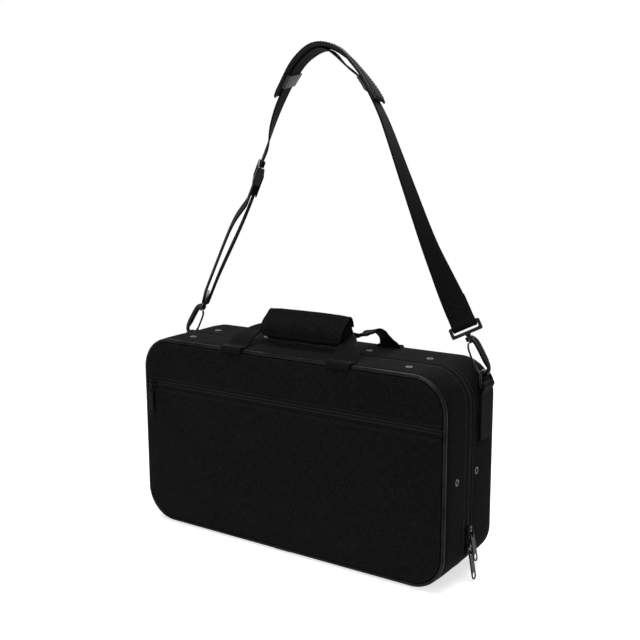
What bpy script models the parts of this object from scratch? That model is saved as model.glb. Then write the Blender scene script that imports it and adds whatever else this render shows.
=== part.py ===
"""Soft clarinet case: two stiff half shells closed by a zip, with a shoulder strap.

Units are metres, +Z is up and the case stands on its long narrow side. The
front half (the lid) faces -Y and turns about a fabric hinge along the bottom.
The origin is on the floor under the middle of the case.
"""
import math

import bmesh
import bpy
from mathutils import Vector

for old in list(bpy.data.objects):
    bpy.data.objects.remove(old, do_unlink=True)

# Fits
GAP = 0.0003
OVERRUN = 0.004

# Closed case
CASE_LENGTH = 0.377
CASE_DEPTH = 0.105
CASE_HEIGHT = 0.210
CORNER_RADIUS = 0.036
SPLIT_OFFSET = 0.003
CORNER_STEPS = 8

# Feet and rivets
FOOT_HEIGHT = 0.0025
FOOT_RADIUS = 0.0065
FOOT_SPREAD = 0.105
FOOT_SET = 0.040
RIVET_RADIUS = 0.0042
RIVET_HEIGHT = 0.0012
RIVET_SPREAD = 0.136
RIVET_INNER_SPREAD = 0.066
RIVET_FRONT_SET = 0.029
RIVET_REAR_SET = 0.014

# Shells
SHELL_WALL = 0.005
LID_FACE = 0.004
REAR_FACE = 0.006
PIPING_RADIUS = 0.002
EDGE_ROUND = 0.0006
PANEL_DEPTH = 0.0070
PANEL_CROWN = 0.0012
PANEL_CROWN_RUN = 0.012
PANEL_CORNER = 0.003

# Front pocket and its zip
POCKET_CLOTH = 0.0014
POCKET_SIDE = 0.0024
POCKET_ZIP_HEIGHT = 0.1575
POCKET_ZIP_BAND = 0.009
POCKET_ZIP_LIP = 0.0011
POCKET_COIL_WIDTH = 0.0024
POCKET_COIL_PROUD = 0.0009
POCKET_SLIDER_SET_IN = 0.0125
POCKET_MOUTH_DROP = 0.006

# Main zip round the split
ZIP_BAND = 0.0058
ZIP_TAPE = 0.0012
ZIP_SEAT = 0.0015
COIL_WIDTH = 0.0019
COIL_PROUD = 0.0009
ZIP_END_ANGLE = math.radians(62)
HINGE_END_ANGLE = math.radians(64.5)
HINGE_ROLL_RADIUS = 0.0010
HINGE_ROLL_DROP = 0.0002
HINGE_ROLL_REACH = 0.148

# Zip sliders and pulls
SLIDER_LENGTH = 0.0125
SLIDER_WIDTH = 0.0098
SLIDER_PLATE = 0.0026
BRIDGE_WIRE = 0.0007
BRIDGE_RISE = 0.0028
BRIDGE_REACH = 0.0032
PULL_LENGTH = 0.029
PULL_WIDTH = 0.0078
PULL_PLATE = 0.0013
PULL_RIM = 0.0013
PULL_WINDOW = 0.0040
PULL_TIP_HOLE = 0.0062
LINK_WIDTH = 0.0037
LINK_WIRE = 0.0006
UPPER_SLIDER_RISE = 0.0115
UPPER_PULL_ANGLE = math.radians(-79)
LOWER_SLIDER_ANGLE = math.radians(-11)
LOWER_PULL_ANGLE = math.radians(-80)
POCKET_SLIDER_SHARE = 0.78

# Linings and fitted trays
PLUSH = 0.0015
LID_PAD = 0.008
LID_PAD_CROWN = 0.003
LID_PAD_CROWN_RUN = 0.030
TRAY_SET = 0.002
JOINT_CHANNEL_RADIUS = 0.0225
JOINT_CHANNEL_START = -0.165
UPPER_JOINT_LENGTH = 0.235
LOWER_JOINT_LENGTH = 0.260
BELL_LENGTH = 0.110
BELL_RADIUS = 0.0395
BELL_NECK_RADIUS = 0.020
BARREL_LENGTH = 0.068
BARREL_RADIUS = 0.0185
MOUTHPIECE_LENGTH = 0.094
MOUTHPIECE_RADIUS = 0.0165
TRAY_WALL = 0.0065
ACCESSORY_WIDTH = 0.055
ACCESSORY_HEIGHT = 0.088
ACCESSORY_DEPTH = 0.038
TRAY_SPLIT_HEIGHT = 0.0945
TRAY_SPLIT_PLACE = 0.1015
CHANNEL_SIDES = 24
CHANNEL_END_ROUND = 0.006

# Handles and their wrap
HANDLE_SHIFT = 0.004
HANDLE_HALF_LENGTH = 0.067
HANDLE_WEB = 0.027
HANDLE_GRIP_SHARE = 0.5
HANDLE_CLOTH = 0.0016
HANDLE_FOLD_SHARE = 2.0
HANDLE_HINGE_SET = 0.0105
HANDLE_SEAT = HANDLE_CLOTH / 2 + GAP
HANDLE_ANCHOR_DROP = 0.0032
HANDLE_FOLD_ROOM = 0.0027
FRONT_GRIP_Y = -0.007
FRONT_GRIP_RISE = 0.0160
REAR_GRIP_Y = 0.0135
REAR_GRIP_RISE = 0.0150
REAR_HANDLE_BOW = 0.008
FRONT_HANDLE_BOW = 0.002
FLAP_CORNER = 0.008
HANDLE_ROUTE_SHARES = (
    (1.0, 0.0, 1.0, 1.0),
    (1.0, 0.25, 1.0, 1.0),
    (0.99, 0.5, 0.95, 1.1),
    (0.955, 0.75, 0.8, 1.4),
    (0.88, 0.94, 0.6, 1.8),
    (0.78, 1.0, 0.5, 2.0),
    (0.60, 1.0, 0.5, 2.0),
    (0.0, 1.0, 0.5, 2.0),
)
WRAP_LENGTH = 0.102
WRAP_HALF = 0.0115
WRAP_SLOT_CLEAR = 0.0008
WRAP_SLOT_POWER = 0.45
PATCH_CLOTH = 0.0008
FLAP_CLOTH = 0.0024
FLAP_START_ANGLE = math.radians(52)
FLAP_END_ANGLE = math.radians(206)
PATCH_START_ANGLE = math.radians(155)
PATCH_MARGIN = 0.012

# Shoulder strap, hooks and rings
STRAP_SET = 0.027
RING_STAND_OFF = 0.0030
RING_BAR_DROP = 0.0210
RING_RADIUS = 0.0140
RING_WIRE = 0.0015
RING_LEAN = math.radians(15)
TAB_WIDTH = 0.0235
TAB_CLOTH = 0.0032
TAB_FOOT = 0.137
HOOK_WIRE = 0.0021
HOOK_BOW = 0.0068
HOOK_NOSE = 0.0055
COLLAR_RADIUS = 0.0042
COLLAR_HEIGHT = 0.0050
STEM_RADIUS = 0.0016
EYE_BODY = 0.0036
EYE_SLOT = 0.0262
EYE_SLOT_HEIGHT = 0.0046
EYE_BAR = 0.0034
EYE_SIDE = 0.0030
GATE_WIDTH = 0.0030
GATE_PLATE = 0.0012
STRAP_WEB = 0.0245
STRAP_CLOTH = 0.0015
STRAP_EYE_SET_IN = 0.0255
STRAP_EYE_RISE = 0.0565
STRAP_RISE = 0.2700
STRAP_LAP = 0.030
ADJUSTER_PLACE_SHARES = (-0.511, 0.535)
ADJUSTER_LEAN = math.radians(26)
ADJUSTER_ABOVE = 0.032
ADJUSTER_BELOW = 0.036
ADJUSTER_LENGTH = 0.020
ADJUSTER_RAIL = 0.0030
ADJUSTER_BAR = 0.0011
ADJUSTER_END = 0.013
ADJUSTER_LAP = 0.024
STRAP_ROUTE_SHARES = (
    (1.0, 0.0, -0.78),
    (0.955, 0.067, -0.76),
    (0.8765, 0.176, -0.72),
    (0.779, 0.302, -0.62),
    (0.612, 0.518, -0.45),
    (0.4855, 0.690, -0.22),
    (0.4217, 0.767, -0.12),
    (0.337, 0.848, -0.05),
    (0.241, 0.9165, 0.0),
    (0.1386, 0.972, 0.0),
    (0.0, 1.0, 0.0),
    (-0.1386, 0.959, 0.0),
    (-0.241, 0.885, -0.03),
    (-0.325, 0.803, -0.10),
    (-0.3855, 0.7217, -0.25),
)
LEFT_TWIST_SHARE = -0.42
LEFT_EYE_SHARE = -0.98
OUTER_STRAND_SHARES = ((-0.741, 0.315), (-0.918, 0.110))
INNER_STRAND_SHARES = ((-0.855, 0.113), (-0.672, 0.304))
PAD_WIDTH = 0.042
PAD_THICK = 0.0046
PAD_LENGTH = 0.162
PAD_SHIFT = 0.007
PAD_END_TAPER = 0.012
PAD_END_SHARE = 0.86
KEEPER_LENGTH = 0.020
KEEPER_CLOTH = 0.0010

# Worked out from the sizes above
HALF_LENGTH = CASE_LENGTH / 2
BASE = FOOT_HEIGHT
TOP = BASE + CASE_HEIGHT
FRONT = -CASE_DEPTH / 2
BACK = CASE_DEPTH / 2
SPLIT = -SPLIT_OFFSET
PIPING = 2 * PIPING_RADIUS
PANEL_INSET = PIPING + GAP
LID_BOARD = FRONT + PANEL_DEPTH
LID_INNER = LID_BOARD + LID_FACE
REAR_INNER = BACK - REAR_FACE
CORNER_X = HALF_LENGTH - CORNER_RADIUS
CORNER_Z = BASE + CORNER_RADIUS
COIL_TOP = COIL_PROUD + GAP
POCKET_SLIDER_PLACE = HALF_LENGTH - POCKET_SLIDER_SET_IN
RING_BAR_PLACE = HALF_LENGTH + RING_STAND_OFF
RING_BAR_HEIGHT = TOP - RING_BAR_DROP
STRAP_HALF_SPAN = RING_BAR_PLACE - STRAP_EYE_SET_IN
STRAP_EYE_HEIGHT = RING_BAR_HEIGHT + STRAP_EYE_RISE
SIDES = (("left", -1), ("right", 1))


def material(name, colour, roughness, metallic=0.0):
    """A Principled finish for one node."""
    finish = bpy.data.materials.new(name)
    finish.use_nodes = True
    shader = finish.node_tree.nodes["Principled BSDF"]
    shader.inputs["Base Color"].default_value = (*colour, 1.0)
    shader.inputs["Roughness"].default_value = roughness
    shader.inputs["Metallic"].default_value = metallic
    finish.diffuse_color = (*colour, 1.0)
    return finish


CLOTH = material("woven_cloth", (0.012, 0.012, 0.014), 0.85)
WEBBING = material("webbing", (0.014, 0.014, 0.016), 0.8)
PIPING_VINYL = material("piping_vinyl", (0.018, 0.018, 0.02), 0.35)
ZIP_CLOTH = material("zip_cloth", (0.01, 0.01, 0.011), 0.8)
NYLON = material("nylon_coil", (0.015, 0.015, 0.016), 0.5)
BLACK_METAL = material("black_metal", (0.03, 0.03, 0.033), 0.3, 0.9)
PLASTIC = material("black_plastic", (0.015, 0.015, 0.016), 0.4)
PLUSH_CLOTH = material("plush", (0.016, 0.016, 0.02), 0.95)
PAD_CLOTH = material("pad_cloth", (0.02, 0.02, 0.022), 0.7)


def mesh_object(name, solids, finish, origin=(0, 0, 0), smooth=True):
    """One object from a list of (points, faces) solids given in world places."""
    centre = Vector(origin)
    builder = bmesh.new()
    for points, faces in solids:
        made = [builder.verts.new(Vector(point) - centre) for point in points]
        for face in faces:
            builder.faces.new([made[index] for index in face])
    bmesh.ops.recalc_face_normals(builder, faces=builder.faces)
    mesh = bpy.data.meshes.new(name)
    builder.to_mesh(mesh)
    builder.free()
    if smooth:
        mesh.shade_smooth()
        mesh.set_sharp_from_angle(angle=math.radians(35))
    mesh.materials.append(finish)
    made_object = bpy.data.objects.new(name, mesh)
    made_object.location = centre
    bpy.context.collection.objects.link(made_object)
    return made_object


def guide(name, solids):
    """A hidden solid that a Boolean reads."""
    shape = mesh_object(name, solids, CLOTH, smooth=False)
    shape.hide_render = True
    shape.display_type = "WIRE"
    return shape


def combine(target, tool, operation):
    """Leave an exact Boolean on the target."""
    step = target.modifiers.new(tool.name, "BOOLEAN")
    step.object = tool
    step.operation = operation
    step.solver = "EXACT"


def loft(loops, closed=False):
    """Skin a run of loops with equal counts; cap both ends unless closed."""
    count = len(loops[0])
    points = [point for loop in loops for point in loop]
    faces = []
    last = len(loops) if closed else len(loops) - 1
    for step in range(last):
        here = step * count
        there = (step + 1) % len(loops) * count
        for index in range(count):
            after = (index + 1) % count
            faces.append((here + index, here + after, there + after, there + index))
    if not closed:
        faces.append(tuple(range(count)))
        faces.append(tuple(range((len(loops) - 1) * count, len(loops) * count)))
    return points, faces


def rounded_rectangle(x0, x1, z0, z1, radii, steps=CORNER_STEPS):
    """Corner arcs from the lower right, anticlockwise seen from the front."""
    corners = ((x1, z0, -90), (x1, z1, 0), (x0, z1, 90), (x0, z0, 180))
    outline = []
    for (x, z, start), radius in zip(corners, radii):
        centre_x = x - radius if x == x1 else x + radius
        centre_z = z + radius if z == z0 else z - radius
        for step in range(steps + 1):
            angle = math.radians(start + 90 * step / steps)
            outline.append((centre_x + radius * math.cos(angle), centre_z + radius * math.sin(angle)))
    return outline


def case_outline(inset):
    """The case's rounded outline, drawn in by an inset."""
    radius = CORNER_RADIUS - inset
    return rounded_rectangle(
        -HALF_LENGTH + inset, HALF_LENGTH - inset, BASE + inset, TOP - inset, (radius,) * 4
    )


def case_loop(inset, y):
    return [Vector((x, y, z)) for x, z in case_outline(inset)]


def edge_ring(profile):
    """A closed ring round the case from an (inset, y) profile."""
    rings = [case_loop(inset, y) for inset, y in profile]
    stations = [[ring[index] for ring in rings] for index in range(len(rings[0]))]
    return loft(stations, closed=True)


def arc_station(angle, inset, right, upper):
    """A point on one corner arc; the angle is measured from the horizontal."""
    radius = CORNER_RADIUS - inset
    x = CORNER_X + radius * math.cos(angle)
    z = radius * math.sin(angle)
    z = TOP - CORNER_RADIUS + z if upper else CORNER_Z - z
    return (x if right else -x, z)


def zip_path(inset):
    """Up one side, over the top and down the other, ending on the lower corners."""
    quarter = math.pi / 2
    turns = [step / CORNER_STEPS for step in range(CORNER_STEPS + 1)]
    path = [arc_station(ZIP_END_ANGLE * (1 - turn), inset, True, False) for turn in turns]
    path += [arc_station(quarter * turn, inset, True, True) for turn in turns]
    path += [arc_station(quarter * (1 - turn), inset, False, True) for turn in turns]
    path += [arc_station(ZIP_END_ANGLE * turn, inset, False, False) for turn in turns]
    return path


def hinge_path(inset):
    """Along the bottom between the two ends of the zip."""
    quarter = math.pi / 2
    turns = [step / 4 for step in range(5)]
    sweep = quarter - HINGE_END_ANGLE
    path = [arc_station(HINGE_END_ANGLE + sweep * turn, inset, False, False) for turn in turns]
    path += [arc_station(quarter - sweep * turn, inset, True, False) for turn in turns]
    return path


def strip_along(path_of, profile):
    """A closed strip from an (inset, y) profile carried along an open path."""
    paths = [[Vector((x, y, z)) for x, z in path_of(inset)] for inset, y in profile]
    stations = [[path[index] for path in paths] for index in range(len(paths[0]))]
    return loft(stations)


def tangents(points, closed=False):
    """Unit directions along a run of points."""
    count = len(points)
    result = []
    for index in range(count):
        if closed:
            before, after = points[index - 1], points[(index + 1) % count]
        else:
            before, after = points[max(index - 1, 0)], points[min(index + 1, count - 1)]
        result.append((after - before).normalized())
    return result


def sweep(points, across, sections, closed=False):
    """Carry a section along points; across gives the section's first axis."""
    loops = []
    for index, (point, along) in enumerate(zip(points, tangents(points, closed))):
        first = across[index] if isinstance(across, list) else across
        first = (first - along * first.dot(along)).normalized()
        second = along.cross(first).normalized()
        section = sections[index] if isinstance(sections[0], list) else sections
        loops.append([point + first * a + second * b for a, b in section])
    return loft(loops, closed)


def round_section(radius, sides=8):
    turn = 2 * math.pi / sides
    return [(radius * math.cos(turn * (i + 0.5)), radius * math.sin(turn * (i + 0.5))) for i in range(sides)]


def flat_section(width, thickness):
    """A band with small chamfers along its edges."""
    half_width, half_cloth = width / 2, thickness / 2
    inner = half_width - half_cloth / 2
    return [
        (-half_width, 0.0),
        (-inner, -half_cloth),
        (inner, -half_cloth),
        (half_width, 0.0),
        (inner, half_cloth),
        (-inner, half_cloth),
    ]


def smooth_path(points, steps):
    """Points on a smooth curve through the given points."""
    result = []
    for index in range(len(points) - 1):
        p1, p2 = points[index], points[index + 1]
        p0 = points[index - 1] if index else p1 * 2 - p2
        p3 = points[index + 2] if index + 2 < len(points) else p2 * 2 - p1
        for step in range(steps):
            t = step / steps
            result.append(
                0.5 * (2 * p1 + (p2 - p0) * t + (2 * p0 - 5 * p1 + 4 * p2 - p3) * t * t
                       + (3 * p1 - p0 - 3 * p2 + p3) * t ** 3)
            )
    result.append(points[-1].copy())
    return result


def prism(outline, centre, first, second, thickness):
    """A flat solid from a plane outline, centred on its thickness."""
    normal = first.cross(second).normalized()
    loops = []
    for side in (-0.5, 0.5):
        loops.append([centre + first * a + second * b + normal * thickness * side for a, b in outline])
    return loft(loops)


def turned(profile, centre, axis, sides):
    """A body of revolution from (along, radius) pairs."""
    side = Vector((0, 0, 1)) if abs(axis.z) < 0.9 else Vector((0, 1, 0))
    first = axis.cross(side).normalized()
    second = axis.cross(first).normalized()
    turn = 2 * math.pi / sides
    loops = []
    for along, radius in profile:
        loops.append(
            [
                centre + axis * along + first * radius * math.cos(turn * i) + second * radius * math.sin(turn * i)
                for i in range(sides)
            ]
        )
    return loft(loops)


def box(low, high):
    loops = []
    for z in (low[2], high[2]):
        loops.append([(low[0], low[1], z), (high[0], low[1], z), (high[0], high[1], z), (low[0], high[1], z)])
    return loft([[Vector(point) for point in loop] for loop in loops])


def stadium(start, end, width, steps=6):
    """A long hole or tongue with round ends, from start to end along its second axis."""
    radius = width / 2
    outline = []
    for centre, first in ((start + radius, 180), (end - radius, 0)):
        for step in range(steps + 1):
            angle = math.radians(first + 180 * step / steps)
            outline.append((radius * math.cos(angle), centre + radius * math.sin(angle)))
    return outline


def make_lid():
    """Front half: a foam board tray, its piping and what closes its face."""
    band_front = FRONT + PIPING + GAP
    band_back = SPLIT - ZIP_BAND
    rim = SPLIT - GAP
    profile = (
        (PIPING, LID_BOARD),
        (PIPING, band_front),
        (EDGE_ROUND, band_front),
        (0.0, band_front + EDGE_ROUND),
        (0.0, band_back),
        (ZIP_SEAT, band_back),
        (ZIP_SEAT, rim),
        (SHELL_WALL, rim),
        (SHELL_WALL, LID_INNER),
    )
    shell = mesh_object("lid_shell", [loft([case_loop(*pair) for pair in profile])], CLOTH)
    section = [(PIPING_RADIUS + a, FRONT + PIPING_RADIUS + b) for a, b in round_section(PIPING_RADIUS)]
    mesh_object("front_piping", [edge_ring(section)], PIPING_VINYL)
    lining = (
        (SHELL_WALL + GAP, LID_INNER + GAP),
        (SHELL_WALL + GAP, rim),
        (SHELL_WALL + GAP + PLUSH, rim),
        (SHELL_WALL + GAP + PLUSH, LID_INNER + GAP),
    )
    mesh_object("lid_wall_lining", [edge_ring(lining)], PLUSH_CLOTH)
    pad_inset = SHELL_WALL + PLUSH + 2 * GAP
    pad_back = LID_INNER + GAP
    pad = (
        (pad_inset, pad_back),
        (pad_inset, pad_back + LID_PAD - LID_PAD_CROWN),
        (pad_inset + LID_PAD_CROWN_RUN / 8, pad_back + LID_PAD - LID_PAD_CROWN / 3),
        (pad_inset + LID_PAD_CROWN_RUN / 2, pad_back + LID_PAD - LID_PAD_CROWN / 12),
        (pad_inset + LID_PAD_CROWN_RUN * 0.8, pad_back + LID_PAD),
    )
    mesh_object("lid_pad", [loft([case_loop(*pair) for pair in pad])], PLUSH_CLOTH)
    return shell


def panel_loops(z0, z1, radii, profile):
    """Loops for a panel between two heights, drawn in by each pair's inset."""
    loops = []
    edge = HALF_LENGTH - PANEL_INSET
    for inset, y in profile:
        drawn = tuple(max(radius - inset, PANEL_CORNER) for radius in radii)
        outline = rounded_rectangle(-edge + inset, edge - inset, z0 + inset, z1 - inset, drawn)
        loops.append([Vector((x, y, z)) for x, z in outline])
    return loops


def make_front_panels():
    """The padded upper panel, the pocket and the zip between them."""
    zip_low = BASE + POCKET_ZIP_HEIGHT - POCKET_ZIP_BAND / 2
    zip_high = zip_low + POCKET_ZIP_BAND
    seat = LID_BOARD - GAP
    corner = CORNER_RADIUS - PANEL_INSET
    small = PANEL_CORNER
    upper = (
        (0.0, seat),
        (0.0, FRONT + EDGE_ROUND),
        (EDGE_ROUND, FRONT),
        (PANEL_CROWN_RUN / 2, FRONT - PANEL_CROWN),
    )
    radii = (small, corner, corner, small)
    top_loops = panel_loops(zip_high, TOP - PANEL_INSET, radii, upper)
    mesh_object("upper_panel", [loft(top_loops)], CLOTH)
    pocket = (
        (PANEL_CROWN_RUN, FRONT - PANEL_CROWN + POCKET_CLOTH),
        (POCKET_SIDE, FRONT + POCKET_CLOTH),
        (POCKET_SIDE, seat),
        (0.0, seat),
        (0.0, FRONT + EDGE_ROUND),
        (EDGE_ROUND, FRONT),
        (PANEL_CROWN_RUN, FRONT - PANEL_CROWN),
    )
    radii = (corner, small, small, corner)
    pocket_loops = panel_loops(BASE + PANEL_INSET, zip_low, radii, pocket)
    panel = mesh_object("pocket_panel", [loft(pocket_loops)], CLOTH)
    reach = HALF_LENGTH - PANEL_INSET - POCKET_SIDE - CORNER_RADIUS / 4
    mouth = box(
        (-reach, FRONT + POCKET_CLOTH + GAP, zip_low - POCKET_MOUTH_DROP),
        (reach, seat + OVERRUN, zip_low + OVERRUN),
    )
    combine(panel, guide("pocket_mouth_guide", [mouth]), "DIFFERENCE")
    edge = HALF_LENGTH - PANEL_INSET
    coil_low = BASE + POCKET_ZIP_HEIGHT - POCKET_COIL_WIDTH / 2
    coil_high = coil_low + POCKET_COIL_WIDTH
    tape_front = FRONT + POCKET_ZIP_LIP
    groove = tape_front + POCKET_CLOTH
    low, high = zip_low + GAP, zip_high - GAP
    lip_low, lip_high = coil_low - GAP, coil_high + GAP
    tape_section = [
        (low, groove + POCKET_CLOTH),
        (low, tape_front),
        (low + EDGE_ROUND, tape_front - EDGE_ROUND),
        (lip_low - EDGE_ROUND, tape_front - EDGE_ROUND),
        (lip_low, tape_front),
        (lip_low, groove),
        (lip_high, groove),
        (lip_high, tape_front),
        (lip_high + EDGE_ROUND, tape_front - EDGE_ROUND),
        (high - EDGE_ROUND, tape_front - EDGE_ROUND),
        (high, tape_front),
        (high, groove + POCKET_CLOTH),
    ]
    tape = loft([[Vector((x, y, z)) for z, y in tape_section] for x in (-edge, edge)])
    mesh_object("pocket_zip_tape", [tape], ZIP_CLOTH)
    coil_section = [
        (coil_low, groove - GAP),
        (coil_low, tape_front - EDGE_ROUND),
        (coil_low + POCKET_COIL_WIDTH / 4, tape_front - POCKET_COIL_PROUD),
        (coil_high - POCKET_COIL_WIDTH / 4, tape_front - POCKET_COIL_PROUD),
        (coil_high, tape_front - EDGE_ROUND),
        (coil_high, groove - GAP),
    ]
    coil = loft([[Vector((x, y, z)) for z, y in coil_section] for x in (-edge, edge)])
    mesh_object("pocket_zip_coil", [coil], NYLON)
    return tape_front - POCKET_COIL_PROUD - GAP


def make_rear():
    """Rear half: tray, piping and the fitted trays for the instrument."""
    band_back = BACK - PIPING - GAP
    band_front = SPLIT + ZIP_BAND
    rim = SPLIT + GAP
    profile = (
        (PANEL_CROWN_RUN, BACK + PANEL_CROWN / 2),
        (PANEL_INSET, BACK),
        (PANEL_INSET, band_back),
        (EDGE_ROUND, band_back),
        (0.0, band_back - EDGE_ROUND),
        (0.0, band_front),
        (ZIP_SEAT, band_front),
        (ZIP_SEAT, rim),
        (SHELL_WALL, rim),
        (SHELL_WALL, REAR_INNER),
    )
    shell = mesh_object("rear_shell", [loft([case_loop(*pair) for pair in profile])], CLOTH)
    section = [(PIPING_RADIUS + a, BACK - PIPING_RADIUS + b) for a, b in round_section(PIPING_RADIUS)]
    mesh_object("rear_piping", [edge_ring(section)], PIPING_VINYL)
    return shell


def channel(start, length, radius, z, y, end_radius=None):
    """A cutter for one instrument joint, lying along X."""
    last = end_radius or radius
    tip = CHANNEL_END_ROUND
    profile = [
        (0.0, radius - tip / 2),
        (tip / 2, radius),
        (length * 0.55, radius + (last - radius) * 0.12),
        (length * 0.82, radius + (last - radius) * 0.55),
        (length - tip / 2, last),
        (length, last - tip / 2),
    ]
    return turned(profile, Vector((start, y, z)), Vector((1, 0, 0)), CHANNEL_SIDES)


def make_trays():
    """Three plush-covered blocks that fill the rear half and hold the instrument."""
    face = SPLIT + TRAY_SET
    floor = REAR_INNER - GAP
    inset = SHELL_WALL + GAP
    block = loft([case_loop(inset, face), case_loop(inset, floor)])
    left, right = -HALF_LENGTH, HALF_LENGTH
    split_z = BASE + TRAY_SPLIT_HEIGHT
    rooms = {
        "bell_tray": box((left, face - OVERRUN, BASE - OVERRUN), (right, floor + OVERRUN, split_z - GAP / 2)),
        "joint_tray": box(
            (left, face - OVERRUN, split_z + GAP / 2), (TRAY_SPLIT_PLACE - GAP / 2, floor + OVERRUN, TOP + OVERRUN)
        ),
        "accessory_tray": box(
            (TRAY_SPLIT_PLACE + GAP / 2, face - OVERRUN, split_z + GAP / 2), (right, floor + OVERRUN, TOP + OVERRUN)
        ),
    }
    lower_z = split_z + TRAY_WALL + JOINT_CHANNEL_RADIUS
    upper_z = lower_z + 2 * JOINT_CHANNEL_RADIUS + TRAY_WALL
    bell_z = split_z - TRAY_WALL / 2 - BELL_RADIUS
    bell_start = JOINT_CHANNEL_START
    barrel_start = bell_start + BELL_LENGTH + 2 * TRAY_WALL
    mouthpiece_start = barrel_start + BARREL_LENGTH + 2 * TRAY_WALL
    accessory_x = TRAY_SPLIT_PLACE + TRAY_WALL
    accessory_z = split_z + TRAY_WALL
    steps = 4
    room = rounded_rectangle(
        accessory_x, accessory_x + ACCESSORY_WIDTH, accessory_z, accessory_z + ACCESSORY_HEIGHT,
        (CHANNEL_END_ROUND, ACCESSORY_WIDTH / 3, CHANNEL_END_ROUND, CHANNEL_END_ROUND), steps,
    )
    room_loops = [[Vector((x, y, z)) for x, z in room] for y in (face - OVERRUN, face + ACCESSORY_DEPTH)]
    cuts = {
        "bell_tray": [
            channel(bell_start, BELL_LENGTH, BELL_NECK_RADIUS, bell_z, face, BELL_RADIUS),
            channel(barrel_start, BARREL_LENGTH, BARREL_RADIUS, bell_z, face),
            channel(mouthpiece_start, MOUTHPIECE_LENGTH, MOUTHPIECE_RADIUS, bell_z, face),
        ],
        "joint_tray": [
            channel(JOINT_CHANNEL_START, LOWER_JOINT_LENGTH, JOINT_CHANNEL_RADIUS, lower_z, face),
            channel(JOINT_CHANNEL_START, UPPER_JOINT_LENGTH, JOINT_CHANNEL_RADIUS, upper_z, face),
        ],
        "accessory_tray": [loft(room_loops)],
    }
    for name, limits in rooms.items():
        tray = mesh_object(name, [block], PLUSH_CLOTH)
        combine(tray, guide(name + "_room_guide", [limits]), "INTERSECT")
        for number, cutter in enumerate(cuts[name]):
            combine(tray, guide(f"{name}_cut_guide_{number}", [cutter]), "DIFFERENCE")


def make_zip_and_hinge():
    """Tapes and coils round three sides, and the fabric hinge along the bottom."""
    for name, side in (("front", -1), ("rear", 1)):
        near = SPLIT + side * GAP / 2
        coil_far = near + side * COIL_WIDTH
        coil = (
            (ZIP_TAPE, near),
            (0.0, near),
            (-COIL_PROUD, near + side * COIL_WIDTH / 4),
            (-COIL_PROUD, near + side * COIL_WIDTH * 0.75),
            (0.0, coil_far),
            (ZIP_TAPE, coil_far),
        )
        mesh_object(f"zip_coil_{name}", [strip_along(zip_path, coil)], NYLON)
        tape_near = coil_far + side * GAP
        tape_far = SPLIT + side * (ZIP_BAND - GAP)
        tape = (
            (ZIP_TAPE, tape_near),
            (EDGE_ROUND / 2, tape_near),
            (0.0, tape_near + side * EDGE_ROUND),
            (0.0, tape_far - side * EDGE_ROUND),
            (EDGE_ROUND / 2, tape_far),
            (ZIP_TAPE, tape_far),
        )
        mesh_object(f"zip_tape_{name}", [strip_along(zip_path, tape)], ZIP_CLOTH)
        leaf_near = SPLIT + side * (HINGE_ROLL_RADIUS + GAP)
        leaf = ((ZIP_TAPE, leaf_near), (0.0, leaf_near), (0.0, tape_far), (ZIP_TAPE, tape_far))
        mesh_object(f"hinge_leaf_{name}", [strip_along(hinge_path, leaf)], WEBBING)
    axis_z = BASE - HINGE_ROLL_DROP
    ends = [Vector((x, SPLIT, axis_z)) for x in (-HINGE_ROLL_REACH, HINGE_ROLL_REACH)]
    roll = sweep(ends, Vector((0, 1, 0)), round_section(HINGE_ROLL_RADIUS))
    mesh_object("hinge_roll", [roll], WEBBING)


def make_rivets_and_feet(shells):
    """Eyelets pressed through both bands, and moulded feet under them."""
    dome = (
        (-SHELL_WALL / 2, RIVET_RADIUS),
        (RIVET_HEIGHT / 2, RIVET_RADIUS),
        (RIVET_HEIGHT, RIVET_RADIUS * 0.75),
        (RIVET_HEIGHT, RIVET_RADIUS * 0.45),
        (RIVET_HEIGHT / 2, RIVET_RADIUS * 0.3),
    )
    up, right = Vector((0, 0, 1)), Vector((1, 0, 0))
    middle = BASE + CASE_HEIGHT / 2
    for shell, y, spreads in (
        (shells[0], -RIVET_FRONT_SET, (RIVET_SPREAD,)),
        (shells[1], RIVET_REAR_SET, (RIVET_SPREAD, RIVET_INNER_SPREAD)),
    ):
        solids = []
        for side in (-1, 1):
            solids += [turned(dome, Vector((side * x, y, TOP)), up, 12) for x in spreads]
            solids.append(turned(dome, Vector((side * HALF_LENGTH, y, middle)), right * side, 12))
        combine(shell, guide(shell.name + "_rivets_guide", solids), "UNION")
    foot = (
        (GAP, FOOT_RADIUS),
        (FOOT_HEIGHT * 0.6, FOOT_RADIUS * 0.92),
        (FOOT_HEIGHT, FOOT_RADIUS * 0.7),
    )
    for name, y in (("foot_front", -FOOT_SET), ("foot_rear", FOOT_SET)):
        for hand, side in SIDES:
            place = Vector((side * FOOT_SPREAD, y, BASE))
            mesh_object(f"{name}_{hand}", [turned(foot, place, -up, 16)], PLASTIC)


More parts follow.
